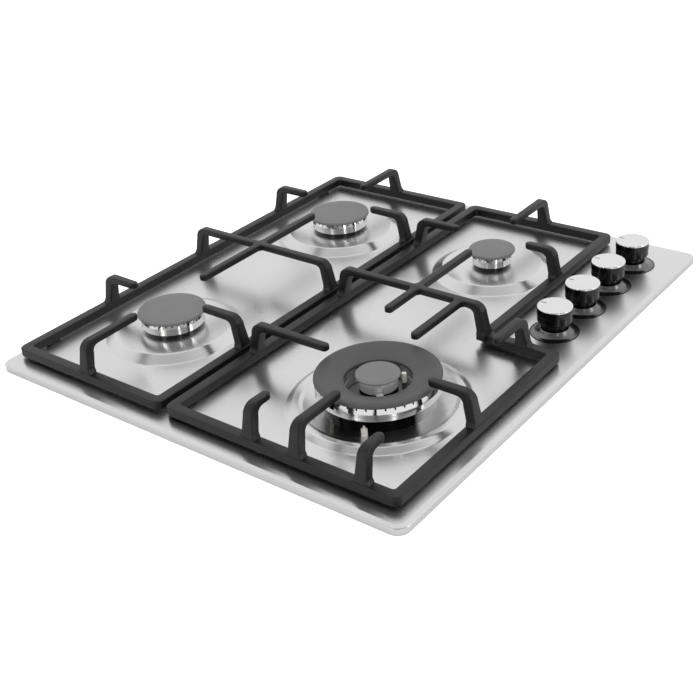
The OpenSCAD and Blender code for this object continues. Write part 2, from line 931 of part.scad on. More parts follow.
// Ceramic electrodes with their metal pins, and one in the middle of the wok burner
module spark_electrodes() {
    color("white") lift() for (i = [0:3]) {
        disc(sparks[i], electrode_r, spark_low_z, spark_tops[i]);
        disc(sparks[i], electrode_pin_r, spark_tops[i], spark_tops[i] + electrode_pin_l);
    }
    color("white") lift() disc(polar(wk, centre_spark_in, centre_spark_deg), centre_spark_r,
        wok_crown_z, wok_crown_z + centre_spark_h);
}

// Round-tipped flame sensors
module flame_sensors() {
    color("brown") lift() for (i = [0:3]) {
        disc(senses[i], sensor_r, sense_low_z, sense_tops[i] - sensor_r);
        at(senses[i], sense_tops[i] - sensor_r) sphere(r = sensor_r, $fn = 32);
    }
}

// Injectors, one under each burner and two under the wok burner
module injectors() {
    color("gold") lift() for (p = [rl, rr, fr, wk, wok_side]) difference() {
        disc(p, injector_r, injector_low, injector_top);
        disc(p, jet_r, injector_low - over, injector_top + over);
    }
}

// Route of a pipe or lead: out of a valve, along a lane, then to its burner
function route(x, lane_y, to, z, end_z) = [
    [x, outlet_y, z], [x, lane_y, z], [to[0], lane_y, z], [to[0], to[1], z], [to[0], to[1], end_z]
];

function route_middle(x, lane_y, mid_x, turn_y, to, z, end_z) = concat(
    [[x, outlet_y, z], [x, lane_y, z], [mid_x, lane_y, z], [mid_x, turn_y, z], [to[0], turn_y, z]],
    turn_y == to[1] ? [] : [[to[0], to[1], z]],
    [[to[0], to[1], end_z]]
);

// Pipes from the valve outlets to the injectors
module gas_pipes() {
    z = pipe_z;
    e = injector_low;
    k = [for (i = [0:3]) knob_pos(i)[0]];
    lanes = [for (i = [0:3]) outlet_y + pipe_lane + pipe_lane_step * i];
    mid = pipe_middle_x;
    color("silver") lift() {
        run(route(k[0] - pipe_side, lanes[0], wk, z, e), pipe_r);
        run(route(k[0] + pipe_side, lanes[1], wok_side, z, e), pipe_r);
        run(route_middle(k[1], lanes[2], mid, rl[1], rl, z, e), pipe_r);
        run(route_middle(k[2], lanes[3], mid + pipe_middle_step, rr[1], rr, z, e), pipe_r);
        run([[k[3], outlet_y, z], [k[3], fr[1], z], [fr[0], fr[1], z], [fr[0], fr[1], e]], pipe_r);
    }
}

// Spark generator on the tray floor
module spark_generator() {
    color("dimgrey") lift() post(gen, gen_x * 2, gen_y * 2, floor_in_z, gen_top);
}

// Silicone leads from the generator to the electrodes
module spark_leads() {
    color("red") lift() for (i = [0:3]) {
        s = sparks[i];
        x = gen[0] + (s[0] < gen[0] ? -gen_x : gen_x);
        y = gen[1] + (s[1] < gen[1] ? -lead_side : lead_side);
        run([[x, y, lead_z], [s[0], y, lead_z], [s[0], s[1], lead_z], [s[0], s[1], spark_low_z]],
            lead_r);
    }
}

// Copper leads from the valves to the flame sensors
module sensor_leads() {
    k = [for (i = [0:3]) knob_pos(i)[0]];
    z = sense_lead_z;
    e = sense_low_z;
    s = senses;
    lane = outlet_y + sense_lane;
    mid = sense_middle_x;
    color("brown") lift() {
        run(route(k[0] - sense_wok_side, outlet_y + sense_wok_lane, s[3], z, e), sense_lead_r);
        run(route_middle(k[1] + sense_side, lane, mid, sense_back_y, s[0], z, e), sense_lead_r);
        run(route_middle(k[2] + sense_side, lane + sense_lane_step, mid + sense_middle_step,
            s[1][1], s[1], z, e), sense_lead_r);
        run(route(k[3] - sense_side, fr[1] - sense_aux_in, s[2], z, e), sense_lead_r);
    }
}

// Switches on the valves, joined by one strip
module switch_strip() {
    mid = switch_y + switch_t / 2;
    color("ivory") lift() {
        for (i = [0:3])
            post([knob_pos(i)[0], mid], switch_w * 2, switch_t, valve_top, valve_top + switch_h);
        block(knob_pos(0)[0], knob_pos(3)[0], mid - strip_t / 2, mid + strip_t / 2,
            valve_top + strip_low, valve_top + strip_low + strip_h);
    }
}

// Terminal block at the back with its gland
module terminal_block() {
    end = tray_back + gland_out;
    color("ivory") lift() difference() {
        union() {
            post(term, term_x * 2, term_y * 2, floor_in_z, term_top);
            along_y(term[0], term[1], end, gland_z, gland_r);
        }
        along_y(term[0], end - cord_l, end + over, gland_z, cord_r);
    }
}

// Pair of wires from terminal block to generator, and one on to the switches
module supply_leads() {
    x = gen[0];
    y = gen[1];
    color("blue") lift() {
        for (s = [-1, 1])
            run([
                [term[0] - term_x, term[1] + s * supply_side, lead_z],
                [x - s * supply_gen_side, term[1] + s * supply_side, lead_z],
                [x - s * supply_gen_side, y + gen_y, lead_z]
            ], lead_r);
        run([
            [x, y - gen_y, lead_z], [x, supply_y, lead_z], [supply_x, supply_y, lead_z],
            [supply_x, supply_y, supply_z], [supply_x, switch_y + switch_t, supply_z]
        ], lead_r);
    }
}

// Side view of a leg and finger, from the outer face of the bar inwards
function leg_line(l) = let (
    f = leg_flare,
    foot_x = leg_t + f * flare_shares[2],
    in_x = leg_lean + leg_t
) concat(
    [[0, bar_bottom], [0, bar_top - f], [f * flare_shares[0], bar_top + f]],
    arc(leg_lean + bend_r, finger_top - bend_r, bend_r, 180, 90, 8),
    [[l, finger_top], [l, finger_z]],
    arc(in_x + bend_in_r, finger_z - bend_in_r, bend_in_r, 90, 180, 5),
    [[leg_t + f * flare_shares[1], bar_top + f * 2], [foot_x, bar_top], [foot_x, bar_top - f]],
    [[bar_w - over, bar_top - f], [bar_w - over, bar_bottom]]
);

// One leg with its finger, starting at a point and running along an angle
module finger(x, y, a, l, round_tip) {
    r = finger_w / 2;
    top = finger_top + over;
    translate([x, y, 0]) rotate([0, 0, a]) intersection() {
        translate([0, r, 0]) rotate([90, 0, 0]) linear_extrude(finger_w) polygon(leg_line(l));
        union() {
            block(0, round_tip ? l - r : l, -r, r, 0, top);
            if (round_tip) disc([l - r, 0], r, 0, top);
        }
    }
}

// Level finger between two places along X, round at the ends
module cross_finger(x0, x1, y) {
    r = finger_w / 2;
    block(x0 + r, x1 - r, y - r, y + r, finger_z, finger_top);
    for (x = [x0 + r, x1 - r]) disc([x, y], r, finger_z, finger_top);
}

// Bars of a frame from its outline
module bars() {
    translate([0, 0, bar_bottom]) linear_extrude(bar_h) children();
}

module rear_outline(inset, r) {
    x = grate_x - inset;
    round_rect(-x, x, rear_grate_front + inset, rear_grate_back - inset, r);
}

module front_outline(inset, r) {
    x = grate_x - inset;
    back = front_grate_back - inset;
    round_rect(-x, notch_x - inset, front_grate_front + inset, back, r);
    round_rect(-x, x, notch_y + inset, back, r);
}

module rear_grate() {
    x = grate_x;
    y0 = rear_grate_front;
    y1 = rear_grate_back;
    mid = (y0 + y1) / 2;
    color("dimgrey") lift() {
        bars() difference() {
            rear_outline(0, frame_corner_r);
            rear_outline(bar_w, frame_inner_r);
        }
        for (s = [-1, 1]) {
            finger(s * burner_x, y1, -90, y1 - rear_y - tip_deep_r, true);
            finger(s * burner_x, y0, 90, rear_y - tip_deep_r - y0, true);
            finger(s * x, rear_y, s > 0 ? 180 : 0, x - burner_x - tip_side_r, true);
        }
        finger(0, y1, -90, y1 - mid, false);
        finger(0, y0, 90, mid - y0, false);
        cross_finger(tip_side_r - burner_x, burner_x - tip_side_r, rear_y);
    }
}

module front_grate() {
    x = grate_x;
    y0 = front_grate_front;
    y1 = front_grate_back;
    mid = (notch_y + y1) / 2;
    color("dimgrey") lift() {
        bars() difference() {
            front_outline(0, frame_corner_r);
            front_outline(bar_w, frame_inner_r);
        }
        finger(wk[0], y1, -90, y1 - wk[1] - tip_wok_r, true);
        finger(wk[0], y0, 90, wk[1] - tip_wok_r - y0, true);
        finger(fr[0], y1, -90, y1 - fr[1] - tip_aux_r, true);
        finger(fr[0], notch_y, 90, fr[1] - tip_aux_r - notch_y, true);
        finger(x, fr[1], 180, x - fr[0] - tip_aux_r, true);
        finger(-x, wk[1], 0, x + wk[0] - tip_wok_r, true);
        for (y = [short_back_y, short_front_y]) finger(-x, y, 0, short_left_x + x, true);
        finger(notch_x, short_front_y, 180, notch_x - short_right_x, true);
        finger(bridge_x, y1, -90, y1 - mid, false);
        finger(bridge_x, notch_y, 90, mid - notch_y, false);
        cross_finger(short_right_x, fr[0] - tip_aux_r, short_back_y);
        cross_finger(wk[0] + tip_wok_r, bridge_x + finger_w / 2, wk[1]);
    }
}

// Rubber feet between plate and bars
module foot(x, y) {
    post([x, y], foot_l, foot_w, plate_z, bar_bottom);
}

module rear_grate_feet() {
    color("black") lift()
        for (s = [-1, 1], y = [rear_grate_front + bar_w / 2, rear_grate_back - bar_w / 2])
            foot(s * (grate_x - foot_end), y);
}

module front_grate_feet() {
    x = grate_x - foot_end;
    color("black") lift() {
        for (s = [-1, 1]) foot(s * x, front_grate_back - bar_w / 2);
        foot(-x, front_grate_front + bar_w / 2);
        foot(notch_x - foot_end, front_grate_front + bar_w / 2);
        foot(x, notch_y + bar_w / 2);
    }
}

top_plate();
worktop_seal();
bottom_tray();
tray_screws();
clamp_brackets();
clamp_screws();
gas_rail();
gas_inlet();
gas_pipes();
injectors();
valve(0);  // valve_wok
valve(1);  // valve_rear_left
valve(2);  // valve_rear_right
valve(3);  // valve_front_right
plug(0);  // plug_wok
plug(1);  // plug_rear_left
plug(2);  // plug_rear_right
plug(3);  // plug_front_right
spindle(0);  // spindle_wok
spindle(1);  // spindle_rear_left
spindle(2);  // spindle_rear_right
spindle(3);  // spindle_front_right
knob(0);  // knob_wok
knob(1);  // knob_rear_left
knob(2);  // knob_rear_right
knob(3);  // knob_front_right
knob_disc(0);  // knob_disc_wok
knob_disc(1);  // knob_disc_rear_left
knob_disc(2);  // knob_disc_rear_right
knob_disc(3);  // knob_disc_front_right
knob_bezels();
burner_base(rl, crown_r - base_in, base_body_r);  // base_rear_left
burner_base(rr, crown_r - base_in, base_body_r);  // base_rear_right
burner_base(fr, aux_crown_r - base_in, aux_body_r);  // base_front_right
base_wok();
crown(rl, crown_r, crown_z, cap_z0, band_h, rear_ports);  // crown_rear_left
crown(rr, crown_r, crown_z, cap_z0, band_h, rear_ports);  // crown_rear_right
crown(fr, aux_crown_r, crown_z, cap_z0, band_h, aux_ports);  // crown_front_right
crown_wok_ring();
crown(wk, centre_crown_r, centre_crown_z, centre_cap_z0, band_h, centre_ports);  // crown_wok_centre
cap(rl, cap_r, cap_z0, cap_z, cap_edge);  // cap_rear_left
cap(rr, cap_r, cap_z0, cap_z, cap_edge);  // cap_rear_right
cap(fr, aux_cap_r, cap_z0, cap_z, cap_edge);  // cap_front_right
cap_wok_ring();
cap(wk, centre_cap_r, centre_cap_z0, centre_cap_z, centre_cap_edge);  // cap_wok_centre
spark_electrodes();
flame_sensors();
spark_generator();
spark_leads();
sensor_leads();
switch_strip();
supply_leads();
terminal_block();
rear_grate();
front_grate();
rear_grate_feet();
front_grate_feet();
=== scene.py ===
"""Looks of a built-in gas cooktop, laid out as an add-on and run as a script.

Lengths are in metres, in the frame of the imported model: X runs to the right
along the front edge, Y to the back and Z up, with the tray's floor at zero.
"""

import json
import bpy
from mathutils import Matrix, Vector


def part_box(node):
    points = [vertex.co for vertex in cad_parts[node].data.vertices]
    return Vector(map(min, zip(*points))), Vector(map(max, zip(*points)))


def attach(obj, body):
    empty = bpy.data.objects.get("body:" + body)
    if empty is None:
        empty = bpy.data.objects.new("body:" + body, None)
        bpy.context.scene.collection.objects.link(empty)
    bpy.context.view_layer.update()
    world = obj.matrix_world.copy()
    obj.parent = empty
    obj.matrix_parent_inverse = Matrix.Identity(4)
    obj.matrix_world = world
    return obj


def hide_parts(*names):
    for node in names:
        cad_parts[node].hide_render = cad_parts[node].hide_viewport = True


bl_info = {
    "name": "Gas Cooktop",
    "version": (1, 0, 0),
    "blender": (4, 5, 0),
    "location": "3D View > Sidebar > Cooktop",
    "description": "Dresses the frame of a four-burner gas cooktop",
    "category": "Object",
}

import bmesh
import bpy
import numpy as np
from bpy.props import FloatProperty, FloatVectorProperty, IntProperty, PointerProperty
from mathutils import Matrix, Vector
from mathutils.geometry import delaunay_2d_cdt

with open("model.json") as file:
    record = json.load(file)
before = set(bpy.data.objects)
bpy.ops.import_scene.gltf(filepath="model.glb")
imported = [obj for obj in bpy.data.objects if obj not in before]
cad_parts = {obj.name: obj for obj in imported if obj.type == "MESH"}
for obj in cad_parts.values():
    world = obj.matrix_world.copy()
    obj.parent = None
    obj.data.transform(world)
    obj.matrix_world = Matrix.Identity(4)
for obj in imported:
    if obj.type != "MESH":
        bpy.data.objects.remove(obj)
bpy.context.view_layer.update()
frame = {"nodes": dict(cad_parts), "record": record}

MM = 0.001
RECORD = frame["record"]
BODY_OF = {n: b for b, nodes in RECORD["behaviour"]["bodies"].items() for n in nodes}
SLOT_OF = {s["node"]: s["material_slot"] for s in RECORD["subparts"]}
KNOBS = ("wok", "rear_left", "rear_right", "front_right")
ROUND_BURNERS = ("rear_left", "rear_right", "front_right")
NOISE = (0.3, 0.7)  # range of most of a noise pattern
SEAT_STEPS = 144
KNOB_HOLE_STEPS = 64
TIP_SHARE = 0.62  # length of a finger's round tip over the finger's width
TIP_DROP = 0.9 * MM  # how far a tip's top falls
TIP_LIFT = 2.2 * MM  # how far its underside rises
TUCK = 0.02 * MM  # keeps crossing fingers from sharing one plane


def corners(node):
    """Lowest and highest corner of a frame node as arrays."""
    low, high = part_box(node)
    return np.array(low, float), np.array(high, float)


def centre(node):
    """Middle of a frame node's box."""
    low, high = corners(node)
    return (low + high) / 2


def radius(node):
    """Half the width of a round frame node."""
    low, high = corners(node)
    return (high[0] - low[0]) / 2


WORKTOP_Z = corners("worktop_seal")[0][2]
PLATE_Z = corners("knob_bezels")[0][2]
SEAT_Z = corners("top_plate")[1][2]


def linear(code):
    """Turns an sRGB hex code into linear red, green, blue and alpha."""
    s = np.array([int(code[i : i + 2], 16) for i in (1, 3, 5)]) / 255
    value = np.where(s <= 0.04045, s / 12.92, ((s + 0.055) / 1.055) ** 2.4)
    return (*value.tolist(), 1.0)


# Settings


def length_setting(name, description, size):
    """Setting that is a length, with its default in millimetres."""
    return FloatProperty(name=name, description=description, default=size * MM, unit="LENGTH")


def colour_setting(name, description, code):
    """Setting that is a colour, with its default as an sRGB hex code."""
    return FloatVectorProperty(name=name, description=description, subtype="COLOR", size=4, default=linear(code))


def angle_setting(name, description, degrees):
    """Setting that is an angle, with its default in degrees."""
    return FloatProperty(name=name, description=description, subtype="ANGLE", default=np.radians(degrees))


class PlateSettings(bpy.types.PropertyGroup):
    """Pressed sheet of the cooktop."""

    corner: length_setting("Corner radius", "Radius of the plate's corners", 12)
    sheet: length_setting("Sheet", "Thickness of the steel sheet", 1)
    side: length_setting("Rim side", "Height of the straight side of the rim", 7.2)
    slope: length_setting("Rim slope", "Width of the slope behind the rim", 5)
    fold: length_setting("Fold radius", "Rounding of the pressed folds", 2.6)
    seat: length_setting("Rear seats", "Outer radius of the rear seats", 73.5)
    small_seat: length_setting("Small seat", "Outer radius of the front right seat", 66.5)
    seat_slope: length_setting("Seat slope", "Width of the slope round a seat", 11)
    ring: length_setting("Wok ring", "Outer radius of the ring round the wok burner", 88.5)
    tint: colour_setting("Steel", "Colour of the stainless steel", "#DBDBDB")


class BurnerSettings(bpy.types.PropertyGroup):
    """Crowns, caps and bases."""

    band: length_setting("Port band", "Height of the sloped band with the ports", 4.4)
    wok_band: length_setting("Wok port band", "Height of that band on the wok ring", 5.6)
    lean: length_setting("Band lean", "How far the band leans in", 1.4)
    port_w: length_setting("Port width", "Width of a flame port", 1.6)
    port_h: length_setting("Port height", "Height of a flame port", 2.4)
    rear_ports: IntProperty(name="Rear ports", description="Ports of a rear crown", default=32)
    small_ports: IntProperty(name="Small ports", description="Ports of the small crown", default=22)
    ring_ports: IntProperty(name="Ring ports", description="Ports of the wok ring", default=42)
    centre_ports: IntProperty(name="Centre ports", description="Ports of the centre crown", default=16)
    edge: length_setting("Cap edge", "Rounding of the caps' edges", 2.2)
    wok_hole: length_setting("Wok hole", "Radius of the hole in the wok ring", 32.4)
    crest: length_setting("Crest", "Distance of the ring cap's crest from its rim", 6)
    dip: length_setting("Dip", "Depth of the ring cap's inner edge below its crest", 6.6)
    # The round caps are lighter than the ring cap: the same enamel with painted sheen.
    enamel: colour_setting("Cap enamel", "Colour of the round caps", "#7A7A7B")
    ring_enamel: colour_setting("Ring enamel", "Colour of the wok ring's cap", "#48484A")


class GrateSettings(bpy.types.PropertyGroup):
    """Cast grates."""

    bar: length_setting("Bar width", "Width of the frame bars", 11)
    bar_h: length_setting("Bar height", "Height of the frame bars", 9.6)
    finger_w: length_setting("Finger width", "Width of the fingers", 8.2)
    finger_t: length_setting("Finger height", "Height of the fingers", 7)
    leg: length_setting("Leg thickness", "Thickness of the legs", 10)
    leg_w: length_setting("Leg width", "Width of the legs at the bars", 12.4)
    crook: length_setting("Inner bend", "Inner radius between leg and finger", 7)
    lean: length_setting("Leg lean", "How far the legs lean in", 5.4)
    bend: length_setting("Bend radius", "Outer radius between leg and finger", 11)
    flare: length_setting("Leg flare", "Widening of the legs at the bars", 2.6)
    soft: length_setting("Edge rounding", "Rounding of the cast edges", 1.2)
    enamel: colour_setting("Grate enamel", "Colour of the grates", "#101011")


class KnobSettings(bpy.types.PropertyGroup):
    """Control knobs."""

    collar: length_setting("Collar", "Radius of the narrow collar", 13)
    cone: length_setting("Bezel height", "Height of the bezels' cone over the plate", 6)
    skirt: length_setting("Skirt height", "Height of the wide part's lower end over the plate", 13.4)
    groove: length_setting("Pointer", "Length of the pointer line", 6)
    body: colour_setting("Knob body", "Colour of the knob body", "#0B0B0C")


class StageSettings(bpy.types.PropertyGroup):
    """Camera, lamps and worktop."""

    place: FloatVectorProperty(
        name="Camera", description="Place of the camera", subtype="TRANSLATION", default=(-0.84136, -0.67773, 0.6169)
    )
    heading: angle_setting("Heading", "Direction of view from +X", 39.8244)
    tilt: angle_setting("Tilt", "Downward tilt of the view", 29.8523)
    roll: angle_setting("Roll", "Roll of the camera", 4.7416)
    lens: FloatProperty(name="Lens", description="Focal length on a 36 mm frame", default=57.852, unit="CAMERA")
    paper: colour_setting("Worktop", "Colour of the worktop", "#FFFFFF")


# Curves and grids


def unit(v):
    """Each vector divided by its length."""
    return v / np.maximum(np.linalg.norm(v, axis=-1, keepdims=True), 1e-12)


def rounded(points, radii, steps=6, closed=False):
    """Polyline whose corners are arcs that touch both of their sides.

    With the corner's half angle h, the arc's centre lies on the bisector at
    r / sin h, and the arc is swept from one touching point to the other.
    """
    p = np.asarray(points, float)
    r = np.broadcast_to(np.asarray(radii, float), len(p))[:, None]
    a = unit(np.roll(p, 1, 0) - p)
    b = unit(np.roll(p, -1, 0) - p)
    half = np.arccos(np.clip((a * b).sum(1, keepdims=True), -1, 1)) / 2
    turn = np.pi - 2 * half
    reach = r / np.tan(np.maximum(half, 1e-6))
    mid = p + unit(a + b) * r / np.sin(np.maximum(half, 1e-6))
    s = np.linspace(0, 1, steps + 1)[None, :, None]
    va = (p + a * reach - mid)[:, None]
    vb = (p + b * reach - mid)[:, None]
    t = turn[:, None]
    arc = mid[:, None] + (va * np.sin((1 - s) * t) + vb * np.sin(s * t)) / np.maximum(np.sin(t), 1e-9)
    plain = (r[:, None] < 1e-9) | (t < 1e-4)
    arc = np.where(plain, p[:, None], arc)
    if not closed:
        arc[0] = p[0]
        arc[-1] = p[-1]
    return arc.reshape(-1, 2)


def tidy(points):
    """Polyline without repeated points."""
    step = np.linalg.norm(np.diff(points, axis=0), axis=1)
    return points[np.concatenate([[True], step > 1e-7])]


def grid_faces(rows, columns, wrap_rows=False, wrap_columns=False):
    """Quads of a grid of points, as rows of four indices."""
    i = np.arange(rows if wrap_rows else rows - 1)[:, None]
    j = np.arange(columns if wrap_columns else columns - 1)[None, :]
    i2 = (i + 1) % rows
    j2 = (j + 1) % columns
    quad = [i * columns + j, i2 * columns + j, i2 * columns + j2, i * columns + j2]
    return np.stack(np.broadcast_arrays(*quad), -1).reshape(-1, 4)


def turned(place, profile, steps=128, closed=True):
    """Profile of radii and heights turned round the upright line at a place."""
    p = np.asarray(profile, float)
    angle = np.linspace(0, 2 * np.pi, steps, endpoint=False)
    x = place[0] + p[:, :1] * np.cos(angle)
    y = place[1] + p[:, :1] * np.sin(angle)
    z = np.broadcast_to(p[:, 1:], x.shape)
    return np.stack([x, y, z], -1).reshape(-1, 3), grid_faces(len(p), steps, closed, True)


def add_piece(name, shells, node, materials, sharp=35.0, extra_nodes=(), replace=True):
    """Makes one object of closed shells that rides and looks as its frame node.

    Each shell is its points, its faces and the number of its material. Points
    that meet are merged, faces are turned outwards, and edges that turn more
    than the sharp angle stay crisp.
    """
    points, faces, numbers, count = [], [], [], 0
    for shell in shells:
        points.append(shell[0])
        faces += (np.asarray(shell[1]) + count).tolist()
        numbers += [shell[2] if len(shell) > 2 else 0] * len(shell[1])
        count += len(shell[0])
    mesh = bpy.data.meshes.new(name)
    mesh.from_pydata(np.concatenate(points), [], faces)
    mesh.polygons.foreach_set("material_index", numbers)
    work = bmesh.new()
    work.from_mesh(mesh)
    bmesh.ops.remove_doubles(work, verts=work.verts, dist=1e-6)
    bmesh.ops.dissolve_degenerate(work, edges=work.edges, dist=1e-7)
    bmesh.ops.recalc_face_normals(work, faces=work.faces)
    work.to_mesh(mesh)
    work.free()
    mesh.polygons.foreach_set("use_smooth", [True] * len(mesh.polygons))
    mesh.set_sharp_from_angle(angle=np.radians(sharp))
    piece = bpy.data.objects.new(name, mesh)
    bpy.context.collection.objects.link(piece)
    for material in materials:
        mesh.materials.append(material)
    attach(piece, BODY_OF[node])
    if replace:
        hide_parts(node, *extra_nodes)
    return piece


# Materials


def add_node(material, kind, sockets=None, **settings):
    """Adds a node with its settings, and its sockets' values or links."""
    tree = material.node_tree
    new = tree.nodes.new(kind)
    for key, value in settings.items():
        setattr(new, key, value)
    for key, value in (sockets or {}).items():
        if isinstance(value, bpy.types.NodeSocket):
            tree.links.new(value, new.inputs[key])
        else:
            new.inputs[key].default_value = value
    return new


def new_material(name):
    """Empty node material."""
    material = bpy.data.materials.new(name)
    material.use_nodes = True
    material.node_tree.nodes.clear()
    return material


def pattern(material, size, stretch=(1, 1, 1), detail=2.0):
    """Noise on Object coordinates whose blobs have a real size, drawn out by a stretch."""
    where = add_node(material, "ShaderNodeTexCoord").outputs["Object"]
    scale = [1 / share for share in stretch]
    drawn = add_node(material, "ShaderNodeMapping", {"Vector": where, "Scale": scale}).outputs["Vector"]
    sockets = {"Vector": drawn, "Scale": 1 / size, "Detail": detail}
    return add_node(material, "ShaderNodeTexNoise", sockets).outputs["Fac"]


def ranged(material, value, start, end, first, last, **settings):
    """Value moved from the range of start to end to that of first to last."""
    sockets = {"Value": value, "From Min": start, "From Max": end, "To Min": first, "To Max": last}
    return add_node(material, "ShaderNodeMapRange", sockets, **settings).outputs["Result"]


def spread(material, value, low, high):
    """Value of a noise pattern, most of which lies in NOISE, moved to a range."""
    return ranged(material, value, *NOISE, low, high)


def shades(material, value, dark, light):
    """Colour that runs from dark to light with a pattern."""
    mix = add_node(material, "ShaderNodeMix", {"Factor": value, 6: dark, 7: light}, data_type="RGBA")
    return mix.outputs[2]


def relief(material, height, strength, distance):
    """Normal that follows a pattern's height."""
    sockets = {"Height": height, "Strength": strength, "Distance": distance}
    return add_node(material, "ShaderNodeBump", sockets).outputs["Normal"]


def finish_material(material, shader):
    """Joins a shader to the material's output."""
    add_node(material, "ShaderNodeOutputMaterial", {"Surface": shader})
    return material


def surface(material, colour, rough, sockets):
    """Ends a material in a Principled surface."""
    sockets = {"Base Color": colour, "Roughness": rough, **sockets}
    return finish_material(material, add_node(material, "ShaderNodeBsdfPrincipled", sockets).outputs[0])


def darker(colour, share):
    """The same colour at a share of its light."""
    return (*[c * share for c in colour[:3]], 1.0)


def brushed_stainless(name, tint, rough, line, depth):
    """Rolled and brushed stainless steel: soft reflections drawn out across fine lines along X."""
    m = new_material(name)
    lines = pattern(m, line, stretch=(60, 1, 1), detail=1.0)
    clouds = pattern(m, 90 * MM)
    across = add_node(m, "ShaderNodeTangent", direction_type="UV_MAP", uv_map="brush").outputs["Tangent"]
    normal = relief(m, lines, depth, 0.02 * MM)
    colour = shades(m, lines, darker(tint, 0.96), tint)
    skin = spread(m, clouds, rough * 0.92, rough * 1.08)
    return surface(m, colour, skin, {"Metallic": 1.0, "Anisotropic": 0.7, "Tangent": across, "Normal": normal})


def cast_enamel(name, tint, rough, grit, depth, ior=1.62):
    """Enamelled cast iron: a matt skin over a fine sand-cast grain."""
    m = new_material(name)
    grain = pattern(m, grit, detail=4.0)
    clouds = pattern(m, 25 * MM)
    normal = relief(m, grain, depth, 0.12 * MM)
    colour = shades(m, grain, darker(tint, 0.82), tint)
    return surface(m, colour, spread(m, clouds, rough * 0.93, rough * 1.07), {"Normal": normal, "IOR": ior})


def matt_aluminium(name, tint, rough):
    """Blasted cast aluminium: an oxide skin that scatters part of the light."""
    m = new_material(name)
    grain = pattern(m, 0.6 * MM, detail=3.0)
    normal = relief(m, grain, 0.15, 0.05 * MM)
    colour = shades(m, grain, darker(tint, 0.9), tint)
    return surface(m, colour, spread(m, grain, rough * 0.9, rough * 1.1), {"Metallic": 0.5, "Normal": normal})


def cast_base(name, tint, rough, place, toward):
    """Cast aluminium with painted shade: near black on the side toward a direction, where its air gap opens and
    shade falls.
    """
    m = new_material(name)
    where = add_node(m, "ShaderNodeTexCoord").outputs["Object"]
    off = add_node(m, "ShaderNodeVectorMath", {0: where, 1: (place[0], place[1], 0)}, operation="SUBTRACT")
    along = add_node(m, "ShaderNodeVectorMath", {0: off.outputs[0], 1: (*toward, 0)}, operation="DOT_PRODUCT")
    # Painted shade: the colour runs from the metal's tint to near black between 22 and 32 mm out towards that side.
    near, far = 22 * MM, 32 * MM
    side = ranged(m, along.outputs["Value"], near, far, 1.0, 0.0)
    colour = shades(m, side, linear("#141414"), tint)
    return surface(m, colour, spread(m, pattern(m, 14 * MM), rough * 0.85, rough * 1.15), {"Metallic": 1.0})


def turned_metal(name, tint, rough, line=0.35 * MM, depth=0.05):
    """Turned and polished metal: bright, with faint rings from the lathe."""
    m = new_material(name)
    rings = pattern(m, line, stretch=(30, 30, 1))
    clouds = pattern(m, 14 * MM)
    normal = relief(m, rings, depth, 0.02 * MM)
    colour = shades(m, clouds, darker(tint, 0.95), tint)
    return surface(m, colour, spread(m, clouds, rough * 0.85, rough * 1.15), {"Metallic": 1.0, "Normal": normal})


def moulded(name, tint, rough, grain=0.6 * MM, depth=0.05, ior=1.5):
    """Moulded plastic, rubber or silicone with a slight skin texture."""
    m = new_material(name)
    skin = pattern(m, grain, detail=3.0)
    clouds = pattern(m, 18 * MM)
    normal = relief(m, skin, depth, 0.03 * MM)
    colour = shades(m, clouds, darker(tint, 0.9), tint)
    return surface(m, colour, spread(m, clouds, rough * 0.9, rough * 1.1), {"Normal": normal, "IOR": ior})


def galvanised(name, tint, rough):
    """Hot-dip galvanised sheet: dull zinc with spangles a few millimetres wide."""
    m = new_material(name)
    where = add_node(m, "ShaderNodeTexCoord").outputs["Object"]
    cells = add_node(m, "ShaderNodeTexVoronoi", {"Vector": where, "Scale": 1 / (9 * MM)})
    spangle = add_node(m, "ShaderNodeSeparateColor", {"Color": cells.outputs["Color"]}).outputs[0]
    colour = shades(m, spangle, darker(tint, 0.8), tint)
    return surface(m, colour, spread(m, spangle, rough * 0.85, rough * 1.15), {"Metallic": 1.0})


# Plate


def outline(low, high, inset, corner, steps=12):
    """Closed rectangle with round corners, drawn in by an inset."""
    x0, y0 = low[0] + inset, low[1] + inset
    x1, y1 = high[0] - inset, high[1] - inset
    return rounded([(x1, y0), (x1, y1), (x0, y1), (x0, y0)], corner, steps, True)


